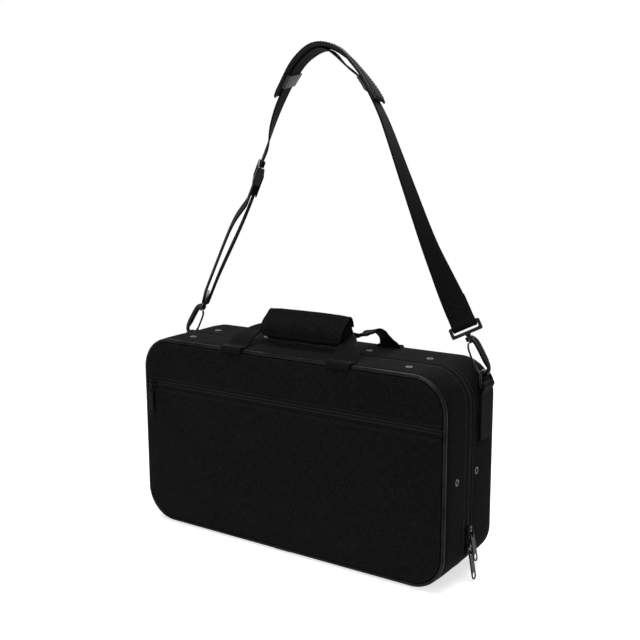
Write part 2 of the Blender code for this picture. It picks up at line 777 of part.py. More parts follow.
def slider_solids(origin, along, across, out, share=1.0):
    """Plate and bridge of a zip slider that travels along its first axis."""
    length, width = SLIDER_LENGTH * share, SLIDER_WIDTH * share
    plate = SLIDER_PLATE * share
    outline = [
        (-length * 0.5, width * 0.28),
        (-length * 0.15, width * 0.34),
        (length * 0.18, width * 0.5),
        (length * 0.4, width * 0.42),
        (length * 0.5, width * 0.2),
    ]
    outline += [(a, -b) for a, b in reversed(outline)]
    crown = 0.82
    loops = []
    for height, scale in ((0.0, 1.0), (plate * 0.6, 1.0), (plate, crown)):
        loops.append([origin + along * a * scale + across * b * scale + out * height for a, b in outline])
    reach, rise = BRIDGE_REACH * share, BRIDGE_RISE * share
    arch = [(-reach, -plate / 3), (-reach, rise * 0.6), (-reach * 0.7, rise), (reach * 0.7, rise),
            (reach, rise * 0.6), (reach, -plate / 3)]
    points = [origin + along * a + out * (plate + b) for a, b in arch]
    bridge = sweep(points, across, round_section(BRIDGE_WIRE, 6))
    return loft(loops), bridge


def slider_object(name, origin, along, across, out, share=1.0, pivot=None):
    plate, bridge = slider_solids(origin, along, across, out, share)
    slider = mesh_object(name, [plate], BLACK_METAL, origin=pivot or origin)
    combine(slider, guide(name + "_bridge_guide", [bridge]), "UNION")
    return slider


def pull_bar(origin, out, share=1.0):
    """The middle of a slider's bridge window, where the pull's bar lies."""
    clear = (BRIDGE_RISE * share - BRIDGE_WIRE) / 2
    return origin + out * (SLIDER_PLATE * share + clear)


def pull_object(name, bar, hang, across, share=1.0):
    """A stamped pull with a window for the bridge and an oval hole in its tip."""
    length, width = PULL_LENGTH * share, PULL_WIDTH * share
    rim = PULL_RIM * share
    window = PULL_WINDOW * share
    start = -rim / 2
    plate = prism(stadium(start, length, width), bar, across, hang, PULL_PLATE * share)
    slot = width - 2 * rim
    square = [(-slot / 3, rim / 2), (slot / 3, rim / 2), (slot / 3, rim / 2 + window), (-slot / 3, rim / 2 + window)]
    tip = stadium(length - rim - PULL_TIP_HOLE * share, length - rim, slot)
    pull = mesh_object(name, [plate], BLACK_METAL, origin=bar)
    cutter_depth = PULL_PLATE * share + OVERRUN
    holes = [prism(square, bar, across, hang, cutter_depth), prism(tip, bar, across, hang, cutter_depth)]
    combine(pull, guide(name + "_holes_guide", holes), "DIFFERENCE")
    return pull


def make_zip_sliders(pocket_out):
    """Two sliders at the lower right corner of the main zip, one on the pocket."""
    x_axis, y_axis, z_axis = Vector((1, 0, 0)), Vector((0, 1, 0)), Vector((0, 0, 1))
    origin = Vector((HALF_LENGTH + COIL_TOP, SPLIT, CORNER_Z + UPPER_SLIDER_RISE))
    slider_object("upper_slider", origin, z_axis, y_axis, x_axis)
    hang = Vector((math.cos(UPPER_PULL_ANGLE), 0, math.sin(UPPER_PULL_ANGLE)))
    pull_object("upper_pull", pull_bar(origin, x_axis), hang, y_axis)

    out = Vector((math.cos(LOWER_SLIDER_ANGLE), 0, math.sin(LOWER_SLIDER_ANGLE)))
    along = Vector((-out.z, 0, out.x))
    centre = Vector((CORNER_X, SPLIT, CORNER_Z))
    origin = centre + out * (CORNER_RADIUS + COIL_TOP)
    slider_object("lower_slider", origin, along, y_axis, out, pivot=centre)
    hang = Vector((math.cos(LOWER_PULL_ANGLE), 0, math.sin(LOWER_PULL_ANGLE)))
    pull_object("lower_pull", pull_bar(origin, out), hang, y_axis)

    share = POCKET_SLIDER_SHARE
    origin = Vector((-POCKET_SLIDER_PLACE, pocket_out, BASE + POCKET_ZIP_HEIGHT))
    slider_object("pocket_slider", origin, -x_axis, z_axis, -y_axis, share)
    bar = pull_bar(origin, -y_axis, share)
    across = Vector((1, 0, 0))
    half = LINK_WIDTH * share / 2
    reach = SLIDER_WIDTH * share
    ring = rounded_rectangle(-half, half, -reach, half, (half * 0.6,) * 4, 3)
    ring_points = [bar - y_axis * (a + half) + z_axis * b for a, b in ring]
    link = sweep(ring_points, across, round_section(LINK_WIRE * share, 6), closed=True)
    pivot = origin - y_axis * (SLIDER_PLATE + BRIDGE_RISE) * share
    mesh_object("pocket_pull_link", [link], BLACK_METAL, origin=pivot)
    hook = bar - y_axis * half - z_axis * reach
    width = PULL_WIDTH * share
    top = PULL_RIM * share
    outline = stadium(-top - LINK_WIRE, PULL_LENGTH - top, width)
    tongue = prism(outline, hook, across, -z_axis, PULL_PLATE * share)
    pull = mesh_object("pocket_pull", [tongue], BLACK_METAL, origin=pivot)
    window = turned([(-OVERRUN, width / 4), (OVERRUN, width / 4)], hook, y_axis, 12)
    tip_end = PULL_LENGTH - 2 * top
    tip = stadium(tip_end - PULL_TIP_HOLE * share, tip_end, width - 2 * top)
    tip_hole = prism(tip, hook, across, -z_axis, PULL_PLATE + OVERRUN)
    combine(pull, guide("pocket_pull_holes_guide", [window, tip_hole]), "DIFFERENCE")


def handle_frame(side):
    """Hinge point, grip point and the plane's upward direction for one handle."""
    hinge = Vector((HANDLE_SHIFT, side * (CASE_DEPTH / 2 - HANDLE_HINGE_SET), TOP + HANDLE_SEAT))
    if side < 0:
        grip = Vector((HANDLE_SHIFT, FRONT_GRIP_Y, TOP + FRONT_GRIP_RISE))
    else:
        grip = Vector((HANDLE_SHIFT, REAR_GRIP_Y, TOP + REAR_GRIP_RISE))
    rise = (grip - hinge).normalized()
    normal = Vector((1, 0, 0)).cross(rise)
    return hinge, grip, rise, normal if normal.z > 0 else -normal


def make_handle(name, side, bow):
    """Flat webbing that rises from both anchors and folds double into the grip."""
    hinge, grip, rise, normal = handle_frame(side)
    reach = (grip - hinge).length
    points, sizes = [], []
    for across_share, reach_share, width_share, fold_share in HANDLE_ROUTE_SHARES:
        lift = bow * math.sin(math.pi * reach_share) ** 2
        place = hinge + Vector((HANDLE_HALF_LENGTH * across_share, 0, 0)) + rise * reach * reach_share
        points.append(place + normal * lift)
        sizes.append(Vector((HANDLE_WEB * width_share, HANDLE_CLOTH * fold_share, 0)))
    mirror = [Vector((2 * HANDLE_SHIFT - p.x, p.y, p.z)) for p in reversed(points[:-1])]
    points = smooth_path(points + mirror, 3)
    sizes = smooth_path(sizes + list(reversed(sizes[:-1])), 3)
    across = [normal.cross(along) for along in tangents(points)]
    sections = [flat_section(size.x, size.y) for size in sizes]
    mesh_object(name, [sweep(points, across, sections)], WEBBING, origin=hinge)
    for hand, place in SIDES:
        outer = side * (CASE_DEPTH / 2 + HANDLE_SEAT)
        end = hinge.y + side * HANDLE_FOLD_ROOM
        fold = HANDLE_SEAT
        route = [
            (outer, TOP - HANDLE_ANCHOR_DROP),
            (outer, TOP - fold),
            (outer - side * fold * 0.7, TOP + fold * 0.65),
            (outer - side * fold * 2, TOP + fold),
            (end, TOP + fold),
        ]
        x = HANDLE_SHIFT + place * HANDLE_HALF_LENGTH
        anchor = sweep(
            [Vector((x, y, z)) for y, z in route], Vector((1, 0, 0)), flat_section(HANDLE_WEB, HANDLE_CLOTH)
        )
        mesh_object(f"{name}_anchor_{hand}", [anchor], WEBBING)


def wrap_point(x, angle, radius, centre):
    return centre + Vector((x, math.cos(angle) * radius, math.sin(angle) * radius))


def wrap_strip(start, end, inner, thickness, half, centre, steps, round_end=0.0, seat=0.0):
    """A curved sheet round the wrap's axis; its far corners can be rounded."""
    loops = []
    for step in range(steps + 1):
        share = step / steps
        angle = start + (end - start) * share
        radius = inner - seat * max(0.0, 1 - share * 5)
        left = (1 - share) * (end - start) * (inner + thickness)
        reach = half
        if round_end and left < round_end:
            reach = half - round_end + math.sqrt(max(round_end ** 2 - (round_end - left) ** 2, 0.0))
        corners = ((-reach, radius), (reach, radius), (reach, radius + thickness), (-reach, radius + thickness))
        loops.append([wrap_point(x, angle, r, centre) for x, r in corners])
    return loft(loops)


def make_wrap():
    """A padded sleeve sewn round the front grip, with a flap that closes over it."""
    hinge, centre, rise, normal = handle_frame(-1)
    sides = 24
    turn = 2 * math.pi / sides
    half = WRAP_LENGTH / 2
    slot_wide = HANDLE_WEB * HANDLE_GRIP_SHARE / 2 + WRAP_SLOT_CLEAR
    slot_high = HANDLE_CLOTH * HANDLE_FOLD_SHARE / 2 + WRAP_SLOT_CLEAR
    x_axis = Vector((1, 0, 0))

    def outer(x, share):
        return [wrap_point(x, turn * i, WRAP_HALF * share, centre) for i in range(sides)]

    def squared(value):
        return math.copysign(abs(value) ** WRAP_SLOT_POWER, value)

    def inner(x):
        base = math.atan2(rise.z, rise.y)
        angles = [turn * i - base for i in range(sides)]
        start = centre + x_axis * x
        return [
            start + rise * squared(math.cos(a)) * slot_wide + normal * squared(math.sin(a)) * slot_high
            for a in angles
        ]

    end_round = WRAP_HALF / 4
    loops = [
        outer(-half, 0.86), outer(-half + end_round, 1.0), outer(half - end_round, 1.0), outer(half, 0.86),
        inner(half), inner(-half),
    ]
    mesh_object("wrap_sleeve", [loft(loops, closed=True)], CLOTH, origin=hinge)
    patch_half = half - PATCH_MARGIN
    loop_radius = WRAP_HALF + GAP
    hook_radius = loop_radius + PATCH_CLOTH + GAP
    flap_radius = hook_radius + PATCH_CLOTH + GAP
    patch_end = FLAP_END_ANGLE - math.radians(6)
    span = (PATCH_START_ANGLE, patch_end)
    loop_patch = wrap_strip(*span, loop_radius, PATCH_CLOTH, patch_half, centre, 6)
    mesh_object("wrap_loop_patch", [loop_patch], PLUSH_CLOTH, origin=hinge)
    pivot = wrap_point(0.0, FLAP_START_ANGLE, loop_radius + FLAP_CLOTH / 2, centre)
    hook_patch = wrap_strip(*span, hook_radius, PATCH_CLOTH, patch_half, centre, 6)
    mesh_object("flap_hook_patch", [hook_patch], PLUSH_CLOTH, origin=pivot)
    seat = flap_radius - loop_radius
    flap = wrap_strip(
        FLAP_START_ANGLE, FLAP_END_ANGLE, flap_radius, FLAP_CLOTH, half, centre, 20, FLAP_CORNER, seat
    )
    mesh_object("wrap_flap", [flap], CLOTH, origin=pivot)


def ring_frame(side):
    """The middle of a ring's bar and the direction the ring stands in."""
    bar = Vector((side * RING_BAR_PLACE, STRAP_SET, RING_BAR_HEIGHT))
    return bar, Vector((-side * math.sin(RING_LEAN), 0, math.cos(RING_LEAN)))


def ring_top(side):
    bar, rise = ring_frame(side)
    return bar + rise * RING_RADIUS


def make_rings_and_tabs():
    """A bent wire ring at each end of the case, held by a folded webbing tab."""
    y_axis = Vector((0, 1, 0))
    for hand, side in SIDES:
        bar, rise = ring_frame(side)
        bend = RING_WIRE * 1.4
        outline = [(-RING_RADIUS + bend, 0.0), (RING_RADIUS - bend, 0.0), (RING_RADIUS - bend * 0.3, bend * 0.3)]
        for step in range(13):
            angle = math.radians(8 + 164 * step / 12)
            outline.append((RING_RADIUS * math.cos(angle), RING_RADIUS * math.sin(angle)))
        outline.append((-RING_RADIUS + bend * 0.3, bend * 0.3))
        points = [bar + y_axis * a + rise * b for a, b in outline]
        ring = sweep(points, y_axis.cross(rise), round_section(RING_WIRE), closed=True)
        mesh_object(f"d_ring_{hand}", [ring], BLACK_METAL, origin=bar)
        inner_x = HALF_LENGTH + GAP
        loop_radius = RING_WIRE + GAP + TAB_CLOTH / 2
        tongue_outer = inner_x + TAB_CLOTH
        section = [(inner_x, TAB_FOOT), (tongue_outer, TAB_FOOT), (tongue_outer, RING_BAR_HEIGHT - loop_radius / 2)]
        section.append((inner_x, RING_BAR_HEIGHT - loop_radius / 2))
        half = TAB_WIDTH / 2
        loops = [
            [Vector((side * x, STRAP_SET + y, z)) for x, z in section] for y in (-half, half)
        ]
        tab = mesh_object(f"ring_tab_{hand}", [loft(loops)], WEBBING)
        barrel = turned([(-half, loop_radius), (half, loop_radius)], bar, y_axis, 16)
        bore_reach = half + OVERRUN
        bore = turned([(-bore_reach, RING_WIRE + GAP), (bore_reach, RING_WIRE + GAP)], bar, y_axis, 16)
        combine(tab, guide(f"ring_tab_{hand}_barrel_guide", [barrel]), "UNION")
        combine(tab, guide(f"ring_tab_{hand}_bore_guide", [bore]), "DIFFERENCE")


def strap_place(x_share, z_share):
    return Vector((x_share * STRAP_HALF_SPAN, STRAP_SET, STRAP_EYE_HEIGHT + z_share * STRAP_RISE))


def web_across(along, twist_share):
    """The webbing's width direction: along Y, turned about its run by a share of a quarter turn."""
    twist = twist_share * math.pi / 2
    y_axis = Vector((0, 1, 0))
    return y_axis * math.cos(twist) + along.cross(y_axis) * math.sin(twist)


def strap_run():
    """Points and width directions of the main run, right hook to adjuster zone."""
    lean = Vector((-math.sin(ADJUSTER_LEAN), 0, -math.cos(ADJUSTER_LEAN)))
    middle = strap_place(*ADJUSTER_PLACE_SHARES)
    rows = [(strap_place(x, z), twist) for x, z, twist in STRAP_ROUTE_SHARES]
    for reach_share in (1.0, 0.5):
        rows.append((middle - lean * ADJUSTER_ABOVE * reach_share, LEFT_TWIST_SHARE))
    for reach_share in (0.0, 0.5, 1.0):
        rows.append((middle + lean * ADJUSTER_BELOW * reach_share, LEFT_TWIST_SHARE))
    points = smooth_path([row[0] for row in rows], 4)
    twists = smooth_path([Vector((row[1], 0, 0)) for row in rows], 4)
    across = [web_across(along, twist.x) for along, twist in zip(tangents(points), twists)]
    return points, across, middle, lean


def arc_lengths(points):
    lengths = [0.0]
    for before, after in zip(points, points[1:]):
        lengths.append(lengths[-1] + (after - before).length)
    return lengths


def turn_round(centre, side, down, radius, steps=8):
    """A half circle round an eye's bar, from one side to the other."""
    turns = [math.pi * step / steps for step in range(1, steps)]
    return [centre + side * math.cos(a) * radius + down * math.sin(a) * radius for a in turns]


def make_strap():
    """One length of webbing: sewn lap at the right hook, doubled at the left."""
    points, across, middle, lean = strap_run()
    lengths = arc_lengths(points)
    along = tangents(points)
    along[0] = (points[0] - ring_top(1)).normalized()
    across[0] = web_across(along[0], STRAP_ROUTE_SHARES[0][2])
    normals = [a.cross(w).normalized() for a, w in zip(along, across)]
    loop_radius = math.hypot(EYE_BAR / 2, EYE_BODY / 2) + GAP + STRAP_CLOTH / 2
    lap_step = STRAP_CLOTH + GAP
    taper = STRAP_LAP * 0.4
    main, lap = [], []
    for point, normal, length in zip(points, normals, lengths):
        near = max(0.0, 1 - length / taper)
        main.append(point + normal * loop_radius * near ** 1.5)
        if length < STRAP_LAP:
            lap.append(point - normal * (lap_step + (loop_radius - lap_step) * near ** 1.5))
    down = -along[0]
    start = turn_round(points[0], -normals[0], down, loop_radius)
    path = list(reversed(lap)) + start + main
    widths = list(reversed(across[:len(lap)])) + [across[0]] * len(start) + across

    eye = strap_place(LEFT_EYE_SHARE, 0.0)
    left_down = (ring_top(-1) - eye).normalized()
    left_across = web_across(left_down, LEFT_TWIST_SHARE)
    out = left_down.cross(left_across).normalized()
    if out.x > 0:
        out = -out
    inner_offset = STRAP_CLOTH + 2 * GAP + STRAP_CLOTH / 2 + ADJUSTER_BAR
    inward = lean.cross(across[-1]).normalized()
    if inward.x < 0:
        inward = -inward
    outer_rows = [points[-1]] + [strap_place(*share) for share in OUTER_STRAND_SHARES]
    outer_rows.append(eye + out * loop_radius)
    outer = smooth_path(outer_rows, 4)[1:]
    turn = turn_round(eye, out, left_down, loop_radius)
    inner_rows = [eye - out * loop_radius] + [strap_place(*share) for share in INNER_STRAND_SHARES]
    zone = [middle + inward * inner_offset + lean * reach for reach in (ADJUSTER_BELOW, ADJUSTER_END)]
    inner = smooth_path(inner_rows + zone, 4)
    path += outer + turn + inner
    widths += [left_across] * (len(outer) + len(turn) + len(inner))
    strap = sweep(path, widths, flat_section(STRAP_WEB, STRAP_CLOTH))
    mesh_object("strap_webbing", [strap], WEBBING, origin=(0, STRAP_SET, RING_BAR_HEIGHT))
    make_pad(points, across, normals, lengths)
    make_adjuster(middle, lean, across[-1], inward)
    right_across = across[0]
    make_hook("right", strap_place(1.0, 0.0), right_across)
    make_hook("left", eye, left_across)


def make_pad(points, across, normals, lengths):
    """A shoulder pad on top of the webbing, held on by two keepers under it."""
    top = max(range(len(points)), key=lambda index: points[index].z)
    centre = lengths[top] - PAD_SHIFT
    seat = STRAP_CLOTH / 2 + GAP
    inside = [i for i, length in enumerate(lengths) if abs(length - centre) < PAD_LENGTH / 2]
    place, sections = [], []
    for i in inside:
        near_end = 1 - abs(lengths[i] - centre) / (PAD_LENGTH / 2)
        full = min(1.0, near_end * PAD_LENGTH / 2 / PAD_END_TAPER)
        width = PAD_WIDTH * (PAD_END_SHARE + (1 - PAD_END_SHARE) * full)
        thick = PAD_THICK * (PAD_END_SHARE + (1 - PAD_END_SHARE) * full)
        low, high = seat, seat + thick
        half = width / 2
        edge = thick * 0.3
        section = [
            (-half, -low - edge), (-half + edge, -low), (half - edge, -low), (half, -low - edge),
            (half, -high + edge), (half - 2 * edge, -high), (-half + 2 * edge, -high), (-half, -high + edge),
        ]
        place.append(points[i])
        sections.append(section)
    pad = sweep(place, [across[i] for i in inside], sections)
    mesh_object("shoulder_pad", [pad], PAD_CLOTH, origin=(0, STRAP_SET, RING_BAR_HEIGHT))
    half = PAD_WIDTH * PAD_END_SHARE / 2
    inner = STRAP_WEB / 2 + GAP
    low, floor = seat, seat + KEEPER_CLOTH
    roof = -seat + GAP
    keeper = [
        (-half, roof), (-inner, roof), (-inner, low), (inner, low), (inner, roof), (half, roof),
        (half - EDGE_ROUND, floor), (-half + EDGE_ROUND, floor),
    ]
    for hand, side in SIDES:
        middle = centre - side * (PAD_LENGTH / 2 - KEEPER_LENGTH)
        held = [i for i, length in enumerate(lengths) if abs(length - middle) < KEEPER_LENGTH * 0.6]
        band = sweep([points[i] for i in held], [across[i] for i in held], keeper)
        mesh_object(f"pad_keeper_{hand}", [band], PIPING_VINYL, origin=(0, STRAP_SET, RING_BAR_HEIGHT))


def make_adjuster(middle, lean, across, inward):
    """A three-bar buckle: the run passes between its bars, the sewn end holds the middle one."""
    back = -(STRAP_CLOTH / 2 + GAP + ADJUSTER_BAR)
    held = STRAP_CLOTH * 1.5 + 2 * GAP + ADJUSTER_BAR
    half = STRAP_WEB / 2 + GAP + ADJUSTER_RAIL / 2
    rails = []
    for side in (-1, 1):
        depth = (held - back) / 2 + ADJUSTER_BAR
        centre = middle + across * side * half + inward * (held + back) / 2
        outline = rounded_rectangle(
            -depth, depth, -ADJUSTER_LENGTH / 2, ADJUSTER_LENGTH / 2, (ADJUSTER_BAR * 1.5,) * 4, 3
        )
        rails.append(prism(outline, centre, inward, lean, ADJUSTER_RAIL))
    frame = mesh_object("strap_adjuster", [rails[0]], PLASTIC, origin=middle)
    combine(frame, guide("adjuster_rail_guide", [rails[1]]), "UNION")
    end = ADJUSTER_LENGTH / 2 - ADJUSTER_BAR * 1.2
    for number, (depth, reach) in enumerate(((back, -end), (back, end), (held, 0.0))):
        centre = middle + inward * depth + lean * reach
        bar = turned([(-half, ADJUSTER_BAR), (half, ADJUSTER_BAR)], centre, across, 12)
        combine(frame, guide(f"adjuster_bar_guide_{number}", [bar]), "UNION")
    radius = ADJUSTER_BAR + GAP + STRAP_CLOTH / 2
    centre = middle + inward * held
    layers = [centre - inward * radius + lean * ADJUSTER_LAP * share for share in (1.0, 0.66, 0.33, 0.0)]
    round_bar = turn_round(centre, -inward, -lean, radius)
    outer = [centre + inward * radius + lean * ADJUSTER_LAP * share for share in (0.0, 0.33, 0.66, 1.0)]
    loop = sweep(layers + round_bar + outer, across, flat_section(STRAP_WEB, STRAP_CLOTH))
    mesh_object("strap_end_loop", [loop], WEBBING, origin=middle)


def make_hook(hand, eye, web):
    """Webbing eye, swivelling snap hook and its sprung gate, in line with the ring."""
    side = 1 if hand == "right" else -1
    ring = ring_top(side)
    down = (ring - eye).normalized()
    y_axis = Vector((0, 1, 0))
    out = y_axis.cross(down) * -side
    if out.x * side < 0:
        out = -out
    wide = (web - down * web.dot(down)).normalized()
    slot_end = EYE_BAR / 2 + EYE_SLOT_HEIGHT
    plate_end = slot_end + EYE_BAR
    half = EYE_SLOT / 2 + EYE_SIDE
    outline = rounded_rectangle(-half, half, -EYE_BAR / 2, plate_end, (EYE_SIDE * 0.6,) * 4, 3)
    plate = prism(outline, eye, wide, down, EYE_BODY)
    half_slot = EYE_SLOT / 2
    slot = rounded_rectangle(-half_slot, half_slot, EYE_BAR / 2, slot_end, (EYE_SLOT_HEIGHT / 4,) * 4, 3)
    slot_tool = prism(slot, eye, wide, down, EYE_BODY + OVERRUN)
    body = mesh_object(f"hook_eye_{hand}", [plate], PLASTIC, origin=(0, STRAP_SET, RING_BAR_HEIGHT))
    combine(body, guide(f"hook_eye_{hand}_slot_guide", [slot_tool]), "DIFFERENCE")
    collar_start = plate_end + EYE_BODY * 0.6
    collar_end = collar_start + COLLAR_HEIGHT
    head = COLLAR_HEIGHT * 0.4
    stem = turned(
        [
            (plate_end - EYE_BAR / 2, EYE_BODY * 0.8),
            (collar_start - GAP, EYE_BODY * 0.7),
            (collar_start - GAP / 2, STEM_RADIUS),
            (collar_end + GAP, STEM_RADIUS),
            (collar_end + 1.5 * GAP, STEM_RADIUS * 1.6),
            (collar_end + head, STEM_RADIUS * 1.3),
        ],
        eye, down, 12,
    )
    combine(body, guide(f"hook_eye_{hand}_stem_guide", [stem]), "UNION")

    inside = HOOK_BOW - HOOK_WIRE - RING_WIRE - GAP
    bow = ring - down * inside
    bow_at = (bow - eye).dot(down)
    shoulder = collar_end + COLLAR_HEIGHT * 0.8
    route = [
        (COLLAR_RADIUS * 0.75, collar_start + COLLAR_HEIGHT * 0.35),
        (HOOK_BOW * 0.80, collar_end - COLLAR_HEIGHT * 0.05),
        (HOOK_BOW, shoulder),
        (HOOK_BOW, (shoulder + bow_at) / 2),
    ]
    for step in range(13):
        angle = math.pi * step / 12
        route.append((HOOK_BOW * math.cos(angle), bow_at + HOOK_BOW * math.sin(angle)))
    route.append((-HOOK_BOW, bow_at - HOOK_NOSE))
    points = [eye + out * a + down * b for a, b in route]
    origin = eye + down * collar_start
    wire = sweep(points, y_axis, round_section(HOOK_WIRE))
    hook = mesh_object(f"snap_hook_{hand}", [wire], PLASTIC, origin=origin)
    collar = turned([(collar_start, COLLAR_RADIUS), (collar_end, COLLAR_RADIUS)], eye, down, 16)
    bore_radius = STEM_RADIUS + GAP
    bore = turned(
        [(collar_start - OVERRUN / 4, bore_radius), (collar_end + OVERRUN / 4, bore_radius)], eye, down, 12
    )
    combine(hook, guide(f"snap_hook_{hand}_collar_guide", [collar]), "UNION")
    combine(hook, guide(f"snap_hook_{hand}_bore_guide", [bore]), "DIFFERENCE")
    gate_top = collar_end + GAP + GATE_PLATE / 2
    gate_end = bow_at - HOOK_NOSE - GAP
    near = COLLAR_RADIUS - GATE_PLATE
    rows = [(-near, gate_top), (-HOOK_BOW * 0.86, gate_top + HOOK_NOSE), (-HOOK_BOW, gate_end)]
    gate_points = [eye + out * a + down * b for a, b in rows]
    gate = sweep(gate_points, y_axis, flat_section(GATE_WIDTH, GATE_PLATE))
    mesh_object(f"hook_gate_{hand}", [gate], BLACK_METAL, origin=gate_points[0])


pocket_out = make_front_panels()
lid = make_lid()
rear = make_rear()
make_trays()
make_zip_and_hinge()
make_rivets_and_feet((lid, rear))
make_zip_sliders(pocket_out)
make_handle("front_handle", -1, FRONT_HANDLE_BOW)
make_handle("rear_handle", 1, REAR_HANDLE_BOW)
make_wrap()
make_rings_and_tabs()
make_strap()
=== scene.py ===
# %% [markdown]
# # A soft clarinet case, dressed in its cloth
# The case is two stiff half shells covered in black woven cloth. A zip closes them round three
# sides, a flat pocket is sewn on the front, and a shoulder strap stands up from two rings.
# The imported CAD model is the frame: every piece made here but the handles' webbing rides on one of
# its bodies, so the lid and the sliders still move. All lengths are metres, +Z is up and the front faces -Y.

# %% Load the frame
import math

import bmesh
import bpy
import numpy as np
from mathutils import Matrix, Vector


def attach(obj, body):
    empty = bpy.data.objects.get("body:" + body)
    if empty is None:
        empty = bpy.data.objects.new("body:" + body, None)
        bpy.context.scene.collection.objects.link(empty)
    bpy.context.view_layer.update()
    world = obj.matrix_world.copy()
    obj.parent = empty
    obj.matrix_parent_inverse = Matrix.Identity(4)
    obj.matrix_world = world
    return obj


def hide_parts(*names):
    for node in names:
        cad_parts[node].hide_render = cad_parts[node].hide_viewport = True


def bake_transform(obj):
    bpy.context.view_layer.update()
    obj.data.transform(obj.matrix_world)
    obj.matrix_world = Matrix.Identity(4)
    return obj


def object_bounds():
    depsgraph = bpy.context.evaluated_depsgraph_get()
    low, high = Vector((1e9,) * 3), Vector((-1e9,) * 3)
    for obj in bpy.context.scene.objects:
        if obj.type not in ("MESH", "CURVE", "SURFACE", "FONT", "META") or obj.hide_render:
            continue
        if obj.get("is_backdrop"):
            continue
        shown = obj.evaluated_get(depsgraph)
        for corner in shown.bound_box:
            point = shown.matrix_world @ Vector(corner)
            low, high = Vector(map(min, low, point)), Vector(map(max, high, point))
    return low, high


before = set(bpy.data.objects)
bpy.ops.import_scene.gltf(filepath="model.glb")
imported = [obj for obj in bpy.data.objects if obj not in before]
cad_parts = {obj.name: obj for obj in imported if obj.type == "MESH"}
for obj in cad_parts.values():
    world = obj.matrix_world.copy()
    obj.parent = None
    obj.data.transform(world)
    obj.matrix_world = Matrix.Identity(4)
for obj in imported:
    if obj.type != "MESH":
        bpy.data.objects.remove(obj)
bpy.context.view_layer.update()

# %% [markdown]
# ## The camera
# The photograph was taken from the right of the case and a little above it. The numbers come from
# matching the case's corners to the picture, so the same outline falls on the same pixels.
# A camera looks along its own -Z, so its turning matrix has the viewing direction as its last column.

# %% Place the camera
CAMERA_AIM = Vector((0.0141, 0.0, 0.2422))
CAMERA_TURN = math.radians(34.007)
CAMERA_RISE = math.radians(10.396)
CAMERA_ROLL = math.radians(-0.229)
CAMERA_DISTANCE = 1.0268
CAMERA_LENS = 55.41

camera = bpy.data.objects.new("camera", bpy.data.cameras.new("camera"))
bpy.context.collection.objects.link(camera)
back = Vector((math.sin(CAMERA_TURN) * math.cos(CAMERA_RISE),
               -math.cos(CAMERA_TURN) * math.cos(CAMERA_RISE), math.sin(CAMERA_RISE)))
right = Vector((math.cos(CAMERA_TURN), math.sin(CAMERA_TURN), 0.0))
up = back.cross(right)
tilted_right = right * math.cos(CAMERA_ROLL) + up * math.sin(CAMERA_ROLL)
tilted_up = up * math.cos(CAMERA_ROLL) - right * math.sin(CAMERA_ROLL)
turn = Matrix((tilted_right, tilted_up, back)).transposed().to_4x4()
camera.matrix_world = Matrix.Translation(CAMERA_AIM + back * CAMERA_DISTANCE) @ turn
camera.data.lens = CAMERA_LENS
camera.data.sensor_width = 36.0
camera.data.clip_start, camera.data.clip_end = 0.01, 50.0
bpy.context.scene.camera = camera
bpy.context.scene.view_settings.view_transform = "Standard"
print("camera at", [round(v, 4) for v in camera.matrix_world.translation])

# %% [markdown]
# ## Shader maths as Python
# A material's pattern is a sum on numbers that change over the surface. Wrapping a socket in a
# small class lets such a sum be written as an expression, and each operator adds one Math node.

# %% A socket that can be calculated with
class Value:
    """A socket with the usual operators; each use of one adds a Math node to its graph."""

    def __init__(self, graph, socket):
        self.graph, self.socket = graph, socket

    def maths(self, operation, *others):
        """One Math node on this value and the others."""
        return self.graph.node("Math", {"operation": operation}, dict(enumerate((self,) + others)))

    def __add__(self, other):
        return self.maths("ADD", other)

    def __sub__(self, other):
        return self.maths("SUBTRACT", other)

    def __rsub__(self, other):
        return self.graph.node("Math", {"operation": "SUBTRACT"}, {0: other, 1: self})

    def __mul__(self, other):
        return self.maths("MULTIPLY", other)

    def __pow__(self, other):
        return self.maths("POWER", other)

    __radd__ = __add__
    __rmul__ = __mul__

    def sine(self):
        return self.maths("SINE")

    def size(self):
        """The value without its sign."""
        return self.maths("ABSOLUTE")

    def between(self, low, high):
        """0 below low, 1 above high and a smooth step between them."""
        return self.graph.node("MapRange", {"interpolation_type": "SMOOTHSTEP"}, {0: self, 1: low, 2: high})


print("sums on sockets ready")

